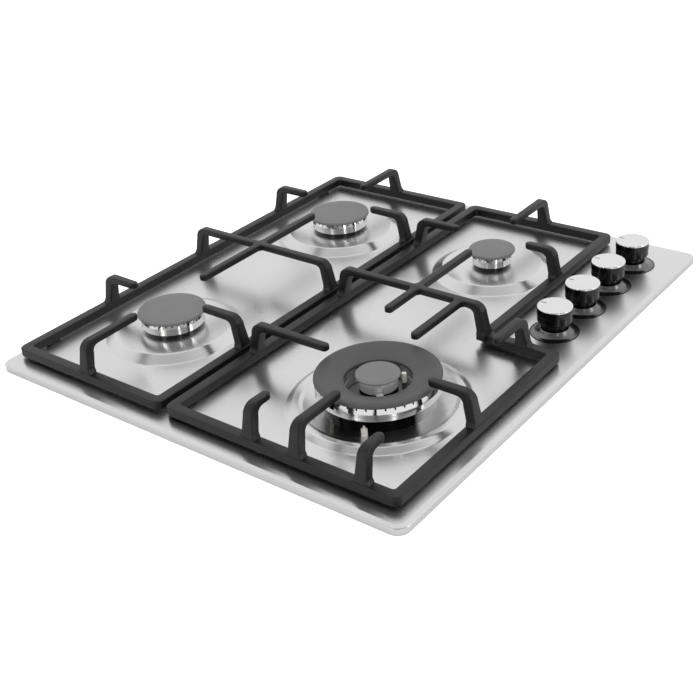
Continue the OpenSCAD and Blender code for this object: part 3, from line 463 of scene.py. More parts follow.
def plate_shells(s):
    """Pressed sheet as one skin: rim, flat top and the raised seats.

    The rim carries a profile of insets and heights along the plate's outline,
    each seat turns a profile of radii and heights, and the flat top is a
    triangulation between the rim's innermost loop and the holes' loops, less
    the triangles whose corners all lie on one hole.
    """
    low, high = corners("top_plate")
    flat = PLATE_Z
    support = 1.2 * MM
    lip = 1.4 * MM
    base_overlap, knob_overlap = 4.2 * MM, 3.8 * MM
    inner = s.slope + s.fold + support
    edge = rounded(
        [
            (lip, WORKTOP_Z), (0, WORKTOP_Z), (0, WORKTOP_Z + s.side), (s.slope, flat),
            (inner - support, flat), (inner, flat),
        ],
        [0, 0.5 * MM, 1.1 * MM, 1.8 * MM, 0, 0],
    )
    edge = tidy(edge)
    loops = [outline(low, high, d, s.corner - d) for d in edge[:, 0]]
    rim = np.stack([np.column_stack([loop, np.full(len(loop), z)]) for loop, z in zip(loops, edge[:, 1])])
    shells = [(rim.reshape(-1, 3), grid_faces(len(edge), rim.shape[1], False, True))]

    def seat_profile(outer, hole):
        path = [
            (outer + s.fold + support, flat), (outer + s.fold, flat), (outer, flat),
            (outer - s.seat_slope, SEAT_Z), (hole + support, SEAT_Z), (hole, SEAT_Z),
        ]
        return tidy(rounded(path, [0, 0, s.fold * 1.4, s.fold * 1.8, 0, 0], 8))

    rings = []
    for name in ROUND_BURNERS:
        outer = s.small_seat if name == "front_right" else s.seat
        rings.append((centre("cap_" + name), seat_profile(outer, radius("base_" + name) - base_overlap)))
    crest = flat + 4.4 * MM
    dish = flat + 0.2 * MM
    foot = radius("base_wok")
    ring = s.ring
    path = [
        (ring + s.fold + support, flat), (ring + s.fold, flat), (ring, flat), (ring - 6.5 * MM, crest),
        (ring - 12.5 * MM, crest), (ring - 16.5 * MM, crest - 2 * MM), (foot + 0.8 * MM, dish),
        (foot - 3 * MM, dish), (foot - base_overlap, dish),
    ]
    folds = np.array([0, 0, 3.2, 3.0, 2.2, 2.4, 3, 0, 0]) * MM
    rings.append((centre("cap_wok_ring"), tidy(rounded(path, folds, 8))))
    holes = []
    for place, profile in rings:
        points, faces = turned(place, profile, SEAT_STEPS, False)
        shells.append((points, faces))
        holes.append(points[:SEAT_STEPS, :2])
    for name in KNOBS:
        place = centre("knob_" + name)
        r = radius("knob_" + name) - knob_overlap
        points, faces = turned(place, [(r, flat), (r - 0.2 * MM, flat)], KNOB_HOLE_STEPS, False)
        shells.append((points, faces))
        holes.append(points[:KNOB_HOLE_STEPS, :2])

    loops = [rim[-1, :, :2]] + holes
    owner = np.repeat(np.arange(len(loops)), [len(loop) for loop in loops])
    start = np.cumsum([0] + [len(loop) for loop in loops])
    edges = [(int(a + i), int(a + (i + 1) % n)) for a, n in zip(start, map(len, loops)) for i in range(n)]
    flat_points = [Vector(p) for p in np.concatenate(loops)]
    found = delaunay_2d_cdt(flat_points, edges, [], 0, 1e-7)
    points = np.array([(p[0], p[1], flat) for p in found[0]])
    triangles = np.array([f for f in found[2] if len(f) == 3])
    owners = owner[np.array([ids[0] for ids in found[3]])][triangles]
    inside = (owners[:, 0] > 0) & (owners[:, 0] == owners[:, 1]) & (owners[:, 0] == owners[:, 2])
    shells.append((points, triangles[~inside]))
    return shells


def brush_map(mesh):
    """Map whose first axis runs across the brush lines: u is y and v is minus x, in metres."""
    points = np.empty(len(mesh.vertices) * 3)
    mesh.vertices.foreach_get("co", points)
    corner = np.empty(len(mesh.loops), int)
    mesh.loops.foreach_get("vertex_index", corner)
    xyz = points.reshape(-1, 3)[corner]
    layer = mesh.uv_layers.new(name="brush")
    layer.data.foreach_set("uv", np.stack([xyz[:, 1], -xyz[:, 0]], -1).ravel())


class COOKTOP_OT_plate(bpy.types.Operator):
    """Build the pressed plate of brushed stainless steel"""

    bl_idname = "cooktop.plate"
    bl_label = "Plate"

    def execute(self, context):
        s = context.scene.cooktop_plate
        steel = brushed_stainless("brushed_stainless_steel", s.tint[:], rough=0.28, line=0.6 * MM, depth=0.03)
        plate = add_piece("plate", plate_shells(s), "top_plate", [steel], sharp=30.0)
        if sum(p.normal.z * p.area for p in plate.data.polygons) < 0:
            plate.data.flip_normals()
        brush_map(plate.data)
        wall = plate.modifiers.new("sheet", "SOLIDIFY")
        wall.thickness = s.sheet
        wall.offset = -1
        return {"FINISHED"}


# Burners


def crown_points(s, place, outer, inner, bore, z0, z1, band, ports, gap=None):
    """Turned ring whose top edge drops into flame ports.

    The ring is a profile at each angle. The depth of the port at that angle
    lowers the two points of the top edge, and the outer one slides down the
    sloped band. A gap is one wider and deeper port.
    """
    pitch = 2 * np.pi / ports
    half = s.port_w / outer / 2
    tiny = 0.02 * MM / outer
    offsets = np.array([-half - tiny, -half, half, half + tiny, pitch / 2 - half * 0.4])
    depths = np.array([0, s.port_h, s.port_h, 0, 0])
    angle = (np.arange(ports)[:, None] * pitch + offsets).ravel()
    depth = np.tile(depths, ports)
    if gap:
        at, width, deep = gap
        away = np.abs((angle - at + np.pi) % (2 * np.pi) - np.pi)
        side = width / outer / 2
        keep = away > side + tiny
        extra = at + np.array([-side - tiny, -side, 0, side, side + tiny])
        angle = np.concatenate([angle[keep], extra])
        depth = np.concatenate([depth[keep], [0, deep, deep, deep, 0]])
        order = np.argsort(angle)
        angle, depth = angle[order], depth[order]
    top = z1 - depth
    fold = z1 - band
    edge = 0.8 * MM
    floor_t = 3 * MM
    lean_at = s.lean * np.clip((top - fold) / band, 0, 1)
    ones = np.ones_like(top)
    rows = [
        (outer - edge, z0), (outer, z0 + edge), (outer, np.minimum(fold, top)), (outer - lean_at, top),
        (inner, top), (inner, z0 + floor_t), (bore, z0 + floor_t), (bore, z0),
    ]
    r = np.stack([row[0] * ones for row in rows])
    z = np.stack([row[1] * ones for row in rows])
    xyz = np.stack([place[0] + r * np.cos(angle), place[1] + r * np.sin(angle), z], -1)
    return xyz.reshape(-1, 3), grid_faces(len(rows), len(angle), True, True)


def cap_profile(outer, z0, z1, edge):
    """Slightly domed cap with a rounded edge and a step under its rim."""
    dome = 0.5 * MM
    step = min(1 * MM, (z1 - z0) * 0.3)
    path = [
        (0, z0), (outer - 3.2 * MM, z0), (outer - 2.8 * MM, z0 + step), (outer, z0 + step),
        (outer, z1 - dome), (outer * 0.72, z1), (0, z1),
    ]
    radii = np.array([0, 0.2 * MM, 0.2 * MM, 0.4 * MM, edge, 6 * MM, 0])
    return tidy(rounded(path, radii, 6))


def ring_cap_profile(s, outer, wall, low, z0, z1):
    """Cone that falls from a crest to its hole.

    Behind the rim a quarter ellipse climbs to the crest, with radii
    outer - crest (1 - cos a) and heights that go with sin a.
    """
    a = np.linspace(0, np.pi / 2, 12)
    rim = z0 + 0.9 * MM
    step = rim - 0.3 * MM
    side = np.stack([outer - s.crest * (1 - np.cos(a)), rim + (z1 - rim) * np.sin(a)], -1)
    edge = z1 - s.dip
    under = [
        (s.wok_hole, low), (s.wok_hole + 3 * MM, low), (wall, z0),
        (outer - 3 * MM, z0), (outer - 2.6 * MM, step), (outer - 0.3 * MM, step),
    ]
    lip = rounded([side[-1], (s.wok_hole, edge), (s.wok_hole, low)], [0, 1 * MM, 0], 6)
    return tidy(np.concatenate([under, side, lip[1:-1]]))


def box_profile(inner, outer, low, high):
    """Rectangle of radii and heights, as the profile of a flat ring."""
    return [(inner, low), (outer, low), (outer, high), (inner, high)]


def add_cap(name, place, edge, enamel):
    """Domed cap of one burner."""
    node = "cap_" + name
    low, high = corners(node)
    add_piece("burner_" + node, [turned(place, cap_profile(radius(node), low[2], high[2], edge))], node, [enamel])


def add_crown(s, name, place, ports, metal):
    """Flame crown of one burner, with its inner wall and bore as shares of its radius."""
    node = "crown_" + name
    low, high = corners(node)
    outer = radius(node)
    shell = crown_points(s, place, outer, outer * 0.7, outer * 0.35, low[2], high[2], s.band, ports)
    add_piece("flame_" + node, [shell], node, [metal], sharp=12.0)


class COOKTOP_OT_burners(bpy.types.Operator):
    """Build the crowns, caps and bases of the burners"""

    bl_idname = "cooktop.burners"
    bl_label = "Burners"

    def execute(self, context):
        s = context.scene.cooktop_burners
        # The round caps' lighter tint is painted sheen on the same enamel as the ring cap.
        enamel = cast_enamel("matt_cap_enamel_painted_sheen", s.enamel[:], rough=0.5, grit=0.8 * MM, depth=0.2)
        ring_enamel = cast_enamel("matt_ring_enamel", s.ring_enamel[:], rough=0.5, grit=0.8 * MM, depth=0.2)
        bright = turned_metal("polished_cast_aluminium", linear("#E8E8E7"), 0.1)
        blasted = matt_aluminium("blasted_cast_aluminium", linear("#E2E2E1"), 0.35)
        dark = moulded("black_base_enamel", linear("#0C0C0D"), 0.16)
        for name in ROUND_BURNERS:
            place = centre("cap_" + name)
            add_cap(name, place, s.edge, enamel)
            add_crown(s, name, place, s.small_ports if name == "front_right" else s.rear_ports, bright)
            frame["nodes"]["base_" + name].data.materials[0] = dark

        place = centre("cap_wok_ring")
        hole = s.wok_hole
        low, high = corners("cap_wok_ring")
        lip = low[2]
        outer = radius("crown_wok_ring")
        wall = outer - 9 * MM
        bottom, seat = (corner[2] for corner in corners("crown_wok_ring"))
        profile = ring_cap_profile(s, radius("cap_wok_ring"), wall, lip, seat, high[2])
        add_piece("burner_cap_wok_ring", [turned(place, profile, 160)], "cap_wok_ring", [ring_enamel], sharp=30.0)
        add_cap("wok_centre", place, 1.4 * MM, enamel)
        add_crown(s, "wok_centre", place, s.centre_ports, blasted)
        gap = (np.radians(171.4286), 6 * MM, 8 * MM)  # its direction, width and depth
        shells = [
            crown_points(s, place, outer, wall, hole, bottom, seat, s.wok_band, s.ring_ports, gap),
            turned(place, box_profile(hole, hole + 3 * MM, bottom, lip)),
        ]
        for turn in (40.0, 220.0):
            shells.append((*arm(place, turn, radius("crown_wok_centre") + 0.8 * MM, hole + MM, bottom), 1))
        add_piece("flame_crown_wok_ring", shells, "crown_wok_ring", [bright, blasted], sharp=12.0)
        # Side of the wok base that gets painted shade.
        toward_painted_shade = (-0.94, -0.34)
        base = cast_base("cast_aluminium_with_painted_shade", linear("#B4B4B4"), 0.2, place, toward_painted_shade)
        frame["nodes"]["base_wok"].data.materials[0] = base
        # Painted shade: a near-black disc at the floor of the wok cup, where the hole lies in shade.
        floor = corners("base_wok")[1][2] - 1.8 * MM
        cup = box_profile(hole * 0.3, hole - 0.3 * MM, floor - 0.3 * MM, floor + 0.2 * MM)
        add_piece("wok_hole_painted_shade", [turned(place, cup)], "base_wok", [dark], replace=False)
        return {"FINISHED"}


def arm(place, turn, start, end, z0):
    """Crossover arm: a half-round trough section carried straight outwards."""
    a = np.radians(turn)
    out = np.array([np.cos(a), np.sin(a)])
    side = np.array([-out[1], out[0]])
    section = rounded([(-3.5, 0), (3.5, 0), (3.5, 5), (-3.5, 5)], [0.3, 0.3, 2, 2], 5, True) * MM
    along = np.array([start, end])
    xy = place[:2] + along[:, None, None] * out + section[None, :, :1] * side
    z = np.broadcast_to(z0 + section[None, :, 1:], (*xy.shape[:2], 1))
    points = np.concatenate([xy, z], -1).reshape(-1, 3)
    return points, grid_faces(2, len(section), False, True)


# Grates


def bar_section(s, z0):
    """Closed section of a frame bar as insets from the outer face and heights."""
    w, h = s.bar, s.bar_h
    low = 1.8 * MM
    return rounded([(0, z0), (w, z0), (w, z0 + h), (0, z0 + h)], [low, low, s.soft, s.soft], 5, True)


def bar_frame(points, inward, radii, s, z0):
    """Bars along an outline.

    A point of the section with inset d runs along the outline drawn in by d,
    whose corner radii go from their outer to their inner value with d.
    """
    section = bar_section(s, z0)
    share = section[:, 0] / s.bar
    loops = [
        rounded(np.array(points) + np.array(inward) * d, radii[0] + (radii[1] - radii[0]) * f, 8, True)
        for d, f in zip(section[:, 0], share)
    ]
    z = section[:, 1][:, None, None] * np.ones((1, len(loops[0]), 1))
    grid = np.concatenate([np.stack(loops), z], -1)
    return grid.reshape(-1, 3), grid_faces(len(section), len(loops[0]), True, True)


def corner_signs(steps=4):
    """Corner sides and directions round a rounded rectangle, as two arrays."""
    turn = np.linspace(0, np.pi / 2, steps + 1)
    angle = (np.arange(4)[:, None] * np.pi / 2 + turn).ravel()
    signs = np.array([(1, 1), (-1, 1), (-1, -1), (1, -1)])
    return np.repeat(signs, steps + 1, axis=0), np.stack([np.cos(angle), np.sin(angle)], -1)


def carried(outer, inner, half_w, soft, origin, turn):
    """Rounded rectangles between two side lines, carried along both.

    At each step the section reaches from the outer to the inner line and half
    the width to each side, with corners rounded by the soft radius.
    """
    signs, ways = corner_signs()
    mid = (outer + inner) / 2
    up = unit(outer - inner)
    half_t = np.linalg.norm(outer - inner, axis=1)[:, None] / 2
    half_w = half_w[:, None]
    r = np.minimum(np.minimum(half_t, half_w), soft)
    a = signs[:, 0] * (half_t - r) + ways[:, 0] * r
    b = signs[:, 1] * (half_w - r) + ways[:, 1] * r
    u = mid[:, None, 0] + a * up[:, None, 0]
    z = mid[:, None, 1] + a * up[:, None, 1]
    c, d = np.cos(turn), np.sin(turn)
    x = origin[0] + u * c - b * d
    y = origin[1] + u * d + b * c
    return np.stack([x, y, z], -1).reshape(-1, 3), grid_faces(len(outer), len(signs), False, True)


def tip_steps(reach):
    """Distances from a round tip's end, closer together towards the end."""
    return reach * (1 - np.sin(np.linspace(0, np.pi / 2, 9)))


def tip_width(t):
    """Share of the width that is left at a share t of a round tip, sqrt(1 - t^2)."""
    return np.sqrt(np.clip(1 - np.clip(t, 0, 1) ** 2, 0, 1))


def lines_of_leg(s, z0, top, length, tip):
    """Outer and inner side line of a leg and its finger, as steps of reach and height.

    Both lines rise from inside the bar with the leg's lean, bend round by a
    quarter turn and run level to the end.
    """
    under = top - s.finger_t
    bar_top = z0 + s.bar_h
    rise = np.linspace(0, 1, 17) ** 1.2
    straight_top = top - s.bend
    base = z0 + s.bar_h * 0.5
    skin = 0.35 * MM
    out_u = skin + (s.lean - skin) * rise
    out_z = base + (straight_top - base) * rise
    in_r = s.crook
    in_top = under - in_r
    in_z = base + (in_top - base) * rise
    inner_face = s.bar - 0.4 * MM
    foot_h, flare_h, taper = 5 * MM, 5.5 * MM, 30 * MM
    foot = (inner_face - s.leg) * np.clip(1 - (in_z - bar_top) / foot_h, 0, 1) ** 2
    in_u = s.leg + s.lean * rise + foot
    in_u = np.where(in_z <= bar_top + 0.1 * MM, np.minimum(in_u, inner_face), in_u)
    turn = np.linspace(np.pi, np.pi / 2, 10)[1:]
    out_u = np.concatenate([out_u, s.lean + s.bend + s.bend * np.cos(turn)])
    out_z = np.concatenate([out_z, straight_top + s.bend * np.sin(turn)])
    corner = s.lean + s.leg + in_r
    in_u = np.concatenate([in_u, corner + in_r * np.cos(turn)])
    in_z = np.concatenate([in_z, in_top + in_r * np.sin(turn)])
    start = max(s.lean + s.bend, corner) + 1.5 * MM
    if tip:
        reach = s.finger_w * TIP_SHARE
        level = np.concatenate([[start], length - tip_steps(reach)])
        shrink = tip_width((level - (length - reach)) / reach)
        drop = TIP_DROP * (1 - shrink)
        lift = TIP_LIFT * (1 - shrink)
    else:
        level = np.array([start, length])
        shrink = np.ones(2)
        drop = lift = np.zeros(2)
    outer = np.stack([np.concatenate([out_u, level]), np.concatenate([out_z, top - drop])], -1)
    inner = np.stack([np.concatenate([in_u, level]), np.concatenate([in_z, under + lift])], -1)
    wide = np.concatenate([np.ones(len(out_u)), shrink]) * s.finger_w / 2
    climb = np.clip((outer[:, 1] - bar_top) / (top - bar_top), 0, 1)
    spare = np.clip(1 - (outer[:, 0] - s.lean - s.bend) / taper, 0, 1)
    wide = wide + (0.5 * MM + (s.leg_w - s.finger_w) / 2 * (1 - climb)) * spare
    flare = s.flare * np.clip(1 - (outer[:, 1] - bar_top) / flare_h, 0, 1) ** 2
    wide = wide + flare * (outer[:, 1] < straight_top)
    return outer, inner, wide


def leg_and_finger(s, z0, top, origin, turn, length, tip=True):
    """One leg with its finger, from the outer face of a bar inwards."""
    outer, inner, wide = lines_of_leg(s, z0, top, length, tip)
    return carried(outer, inner, wide, s.soft, origin, np.radians(turn))


def level_finger(s, top, y, x0, x1, joints=()):
    """Level finger along X with round ends, wider where it crosses another."""
    reach = s.finger_w * TIP_SHARE
    end = tip_steps(reach)
    span, knot, fade = 8 * MM, 2.5 * MM, 4 * MM
    inside = [np.linspace(j - span, j + span, 9) for j in joints]
    x = np.sort(np.concatenate([x0 + end, x1 - end, *inside]))
    x = x[(x >= x0) & (x <= x1)]
    shrink = tip_width(np.maximum((x0 + reach - x), (x - x1 + reach)) / reach)
    wide = s.finger_w / 2 * shrink
    for j in joints:
        away = np.abs(x - j)
        wide = wide + knot * np.clip(1 - (away - s.finger_w / 2) / fade, 0, 1) ** 2 * (away < span)
    outer = np.stack([x, top - TIP_DROP * (1 - shrink)], -1)
    inner = np.stack([x, top - s.finger_t + TIP_LIFT * (1 - shrink)], -1)
    return carried(outer, inner, wide, s.soft, (0, y), 0.0)


def rear_grate_shells(s):
    """Frame, fingers over both rear burners and the arch between them."""
    low, high = corners("rear_grate")
    x, y0, y1, z0, top = high[0], low[1], high[1], low[2], high[2]
    place = centre("cap_rear_right")
    bx, by = place[0], place[1]
    side, deep = 47.4 * MM, 49.6 * MM
    corner_r = (np.full(4, 8 * MM), np.full(4, 3 * MM))
    points = [(x, y0), (x, y1), (-x, y1), (-x, y0)]
    shells = [bar_frame(points, [(-1, 1), (-1, -1), (1, -1), (1, 1)], corner_r, s, z0)]
    for sign in (-1, 1):
        shells.append(leg_and_finger(s, z0, top, (sign * bx, y1), -90, y1 - by - deep))
        shells.append(leg_and_finger(s, z0, top, (sign * bx, y0), 90, by - deep - y0))
        shells.append(leg_and_finger(s, z0, top, (sign * x, by), 90 + 90 * sign, x - bx - side))
    mid = (y0 + y1) / 2
    shells.append(leg_and_finger(s, z0, top, (0, y1), -90, y1 - mid, False))
    shells.append(leg_and_finger(s, z0, top, (0, y0), 90, mid - y0, False))
    shells.append(level_finger(s, top - TUCK, by, side - bx, bx - side, (0.0,)))
    return shells


def front_grate_shells(s):
    """Frame with its notch at the controls, fingers over both front burners and the arch."""
    low, high = corners("front_grate")
    x, y0, y1, z0, top = high[0], low[1], high[1], low[2], high[2]
    wok = centre("cap_wok_ring")
    small = centre("cap_front_right")
    knob = centre("knob_wok")
    notch_x = knob[0] - 49.8 * MM
    notch_y = knob[1] + 42.6 * MM
    bridge = notch_x - s.bar / 2
    wok_r, small_r = 57 * MM, 43.6 * MM
    points = [(x, notch_y), (x, y1), (-x, y1), (-x, y0), (notch_x, y0), (notch_x, notch_y)]
    inward = [(-1, 1), (-1, -1), (1, -1), (1, 1), (-1, 1), (-1, 1)]
    corner_r = (np.array([8, 8, 8, 8, 8, 3]) * MM, np.array([3, 3, 3, 3, 3, 8]) * MM)
    shells = [bar_frame(points, inward, corner_r, s, z0)]
    behind = small[1]
    before = wok[1] - 71.7 * MM
    left_tip = wok[0] - 90.5 * MM
    right_tip = wok[0] + 88.1 * MM

    def add(px, py, turn, length, tip=True):
        shells.append(leg_and_finger(s, z0, top, (px, py), turn, length, tip))

    add(wok[0], y1, -90, y1 - wok[1] - wok_r)
    add(wok[0], y0, 90, wok[1] - wok_r - y0)
    add(small[0], y1, -90, y1 - small[1] - small_r)
    add(small[0], notch_y, 90, small[1] - small_r - notch_y)
    add(x, small[1], 180, x - small[0] - small_r)
    add(-x, wok[1], 0, x + wok[0] - wok_r)
    add(-x, behind, 0, left_tip + x)
    add(-x, before, 0, left_tip + x)
    add(notch_x, before, 180, notch_x - right_tip)
    mid = (notch_y + y1) / 2
    add(bridge, y1, -90, y1 - mid, False)
    add(bridge, notch_y, 90, mid - notch_y, False)
    past_bridge = bridge + s.finger_w * 0.4
    shells.append(level_finger(s, top - TUCK, behind, right_tip, small[0] - small_r, (bridge,)))
    shells.append(level_finger(s, top - TUCK, wok[1], wok[0] + wok_r, past_bridge, (bridge,)))
    return shells


class COOKTOP_OT_grates(bpy.types.Operator):
    """Build the two cast grates and give their feet rubber"""

    bl_idname = "cooktop.grates"
    bl_label = "Grates"

    def execute(self, context):
        s = context.scene.cooktop_grates
        enamel = cast_enamel("matt_grate_enamel", s.enamel[:], rough=0.42, grit=0.8 * MM, depth=0.25, ior=1.47)
        rubber = moulded("moulded_rubber", linear("#17171A"), 0.6, 0.8 * MM, 0.1)
        add_piece("cast_grate_rear", rear_grate_shells(s), "rear_grate", [enamel], sharp=50.0)
        add_piece("cast_grate_front", front_grate_shells(s), "front_grate", [enamel], sharp=50.0)
        for name in ("rear_grate_feet", "front_grate_feet"):
            frame["nodes"][name].data.materials[0] = rubber
        return {"FINISHED"}


# Knobs


def knob_profile(s, outer, z0, z1):
    """Turned knob: collar, a hollow neck, and the wide part with a faint step."""
    collar = s.collar
    skirt = PLATE_Z + s.skirt
    side = outer - 0.3 * MM
    path = [
        (0, z0), (collar - 0.6 * MM, z0), (collar, z0 + 0.6 * MM), (collar, skirt - 2.6 * MM),
        (outer - 1.8 * MM, skirt - 1.6 * MM), (side, skirt + 0.6 * MM), (side, z1 - 7 * MM),
        (outer, z1 - 6.6 * MM), (outer, z1), (0, z1),
    ]
    radii = np.array([0, 0.2, 0.4, 0.9, 0.6, 0.8, 0.2, 0.2, 0, 0]) * MM
    return tidy(rounded(path, radii, 6))


class COOKTOP_OT_knobs(bpy.types.Operator):
    """Build the control knobs with their discs and bezels"""

    bl_idname = "cooktop.knobs"
    bl_label = "Knobs"

    def execute(self, context):
        s = context.scene.cooktop_knobs
        body = moulded("glossy_black_abs", s.body[:], rough=0.1, grain=1.5 * MM, depth=0.02, ior=1.46)
        satin = turned_metal("satin_anodised_disc", linear("#E6E6E6"), 0.4, 0.3 * MM, 0.06)
        chrome = turned_metal("chromed_edge", linear("#E4E4E6"), 0.06, 2 * MM, 0.0)
        steel = turned_metal("black_nickel_bezel", linear("#747474"), 0.24, 0.3 * MM, 0.04)
        # Black for the pointer line's print, and for the painted shadow ring round each bezel.
        ink_and_shadow = moulded("black_ink_and_painted_shadow", linear("#060606"), 0.35)
        for name in KNOBS:
            place = centre("knob_" + name)
            low, high = corners("knob_" + name)
            outer = radius("knob_" + name)
            shell = turned(place, knob_profile(s, outer, low[2], high[2]))
            add_piece("knob_body_" + name, [shell], "knob_" + name, [body], sharp=30.0)
            low, high = corners("knob_disc_" + name)
            shells = disc_shells(s, place, outer, low[2], high[2])
            add_piece("knob_face_" + name, shells, "knob_disc_" + name, [satin, chrome, ink_and_shadow], sharp=30.0)
        outer = 24.6 * MM
        inner = 14.2 * MM
        z = PLATE_Z
        path = [
            (inner, z), (outer, z), (outer, z + 0.3 * MM), (outer - 6 * MM, z + 0.8 * MM),
            (inner + 0.8 * MM, z + s.cone), (inner, z + s.cone),
        ]
        profile = tidy(rounded(path, np.array([0, 0, 0.15, 7, 0.3, 0]) * MM, 6))
        shells = []
        for name in KNOBS:
            place = centre("knob_" + name)
            shells.append(turned(place, profile))
            # Painted shadow: a thin black ring at each bezel's outer edge, where the raised edge casts its shadow
            # line.
            shadow_ring = box_profile(outer - 0.5 * MM, outer + 0.75 * MM, z, z + 0.4 * MM)
            shells.append((*turned(place, shadow_ring), 1))
        add_piece("knob_bezel_rings", shells, "knob_bezels", [steel, ink_and_shadow], sharp=30.0)
        return {"FINISHED"}


def disc_shells(s, place, outer, z0, z1):
    """Disc with a satin top, a rounded bright edge and the pointer line near its back."""
    edge = 0.9 * MM
    flat, foot = outer - 1.5 * MM, outer - 3 * MM
    side = tidy(rounded([(foot, z0), (outer, z0), (outer, z1), (flat, z1)], [0, 0.1 * MM, edge, 0], 8))
    top = [(flat, z1), (0, z1)]
    under = [(0, z0), (foot, z0)]
    line_w = 0.55 * MM
    far = outer - 2 * MM
    low = z1 - 0.3 * MM
    high = z1 + 0.03 * MM
    x0, x1 = place[0] - line_w, place[0] + line_w
    y0, y1 = place[1] + far - s.groove, place[1] + far
    box = np.array([(x, y, z) for z in (low, high) for x, y in ((x0, y0), (x1, y0), (x1, y1), (x0, y1))])
    faces = np.array([(0, 3, 2, 1), (4, 5, 6, 7), (0, 1, 5, 4), (1, 2, 6, 5), (2, 3, 7, 6), (3, 0, 4, 7)])
    return [
        (*turned(place, side, 128, False), 1),
        (*turned(place, top, 128, False), 0),
        (*turned(place, under, 128, False), 0),
        (box, faces, 2),
    ]


# Inner parts


INNER_FINISHES = {
    "galvanised_steel": (galvanised, "galvanised_sheet", "#B9BCC0", 0.42),
    "zinc_screws": (turned_metal, "zinc_plated_screws", "#C9C9C2", 0.3),
    "seal_foam": (moulded, "closed_cell_foam", "#1D1D1F", 0.85, 0.9 * MM, 0.3),
    "rail_steel": (galvanised, "zinc_plated_tube", "#AEB0B2", 0.38),
    "brass": (turned_metal, "machined_brass", "#D8B46A", 0.25),
    "pipe_aluminium": (turned_metal, "drawn_aluminium", "#D2D3D4", 0.3, 0.5 * MM),
    "valve_alloy": (cast_enamel, "die_cast_alloy", "#A9ABAD", 0.45, 0.7 * MM, 0.2),
    "spindle_steel": (turned_metal, "turned_steel", "#BFBFBE", 0.25),
    "ceramic": (moulded, "unglazed_ceramic", "#EFEDE6", 0.4, 0.4 * MM, 0.06),
    "sensor_copper": (turned_metal, "dark_sensor_steel", "#6E6C69", 0.3),
    "generator_plastic": (moulded, "black_polyamide", "#1C1C1D", 0.5),
    "switch_plastic": (moulded, "ivory_polyamide", "#E3DFD0", 0.5),
    "silicone": (moulded, "silicone_sleeve", "#C9C7C0", 0.5),
    "wire_pvc": (moulded, "pvc_wire", "#2A3A78", 0.42),
}


class COOKTOP_OT_inner_parts(bpy.types.Operator):
    """Give the tray, gas fittings, valves and wiring their materials"""

    bl_idname = "cooktop.inner_parts"
    bl_label = "Inner Parts"

    def execute(self, context):
        finishes = {}
        for slot, (make, name, code, *values) in INNER_FINISHES.items():
            finishes[slot] = make(name, linear(code), *values)
        for node, slot in SLOT_OF.items():
            if slot in finishes:
                frame["nodes"][node].data.materials[0] = finishes[slot]
        return {"FINISHED"}


# Stage


def mixed(material, share, first, second):
    """First shader where a share is 0 and second where it is 1."""
    return add_node(material, "ShaderNodeMixShader", {0: share, 1: first, 2: second}).outputs[0]


def world_light(world):
    """White for the camera, and for the object a soft studio that is dim behind the camera."""
    world.use_nodes = True
    world.node_tree.nodes.clear()
    path = add_node(world, "ShaderNodeLightPath")
    where = add_node(world, "ShaderNodeTexCoord").outputs["Generated"]

    def background(tone):
        return add_node(world, "ShaderNodeBackground", {"Color": tone, "Strength": 1.0}).outputs[0]

    def graded(toward, start, end, first, last):
        """Background whose level runs with the direction's share of a vector."""
        share = add_node(world, "ShaderNodeVectorMath", {0: where, 1: toward}, operation="DOT_PRODUCT")
        level = ranged(world, share.outputs["Value"], start, end, first, last, interpolation_type="SMOOTHSTEP")
        return background(add_node(world, "ShaderNodeCombineColor", {i: level for i in range(3)}).outputs[0])

    studio = graded((-0.6, -0.5, 0.62), 0.2, 0.95, 1.0, 0.3)
    soft = graded((0.0, 0.0, 1.0), 0.0, 0.9, 0.4, 0.95)
    white = background((1, 1, 1, 1))
    lit = mixed(world, path.outputs["Is Glossy Ray"], soft, studio)
    seen = mixed(world, path.outputs["Is Camera Ray"], lit, white)
    add_node(world, "ShaderNodeOutputWorld", {"Surface": seen})


def worktop_material(colour):
    """White laminate that glows a little for the camera, so the page stays white and keeps the shadow."""
    m = new_material("white_worktop_laminate")
    path = add_node(m, "ShaderNodeLightPath")
    diffuse = add_node(m, "ShaderNodeBsdfDiffuse", {"Color": colour}).outputs[0]
    glow = add_node(m, "ShaderNodeEmission", {"Color": (1, 1, 1, 1), "Strength": 0.55}).outputs[0]
    both = add_node(m, "ShaderNodeAddShader", {0: diffuse, 1: glow}).outputs[0]
    return finish_material(m, mixed(m, path.outputs["Is Camera Ray"], diffuse, both))


LAMP_TARGET = Vector((0, 0, 0.05))
LAMPS = (
    ("left_strip", (-1.95, 0.03, 0.9), (0.25, 1.4), 3.5),
    ("middle_strip", (-1.0, -1.67, 0.9), (0.14, 1.4), 2.5),
    ("right_strip", (0.57, -1.86, 0.9), (0.4, 1.4), 5),
)


def area_lamp(name, place, size, power):
    """Soft box at a place, turned to the cooktop."""
    light = bpy.data.lights.new(name, "AREA")
    light.shape = "RECTANGLE"
    light.size, light.size_y = size
    light.energy = power
    lamp = bpy.data.objects.new(name, light)
    bpy.context.collection.objects.link(lamp)
    lamp.location = place
    lamp.rotation_euler = (Vector(place) - LAMP_TARGET).to_track_quat("Z", "Y").to_euler()


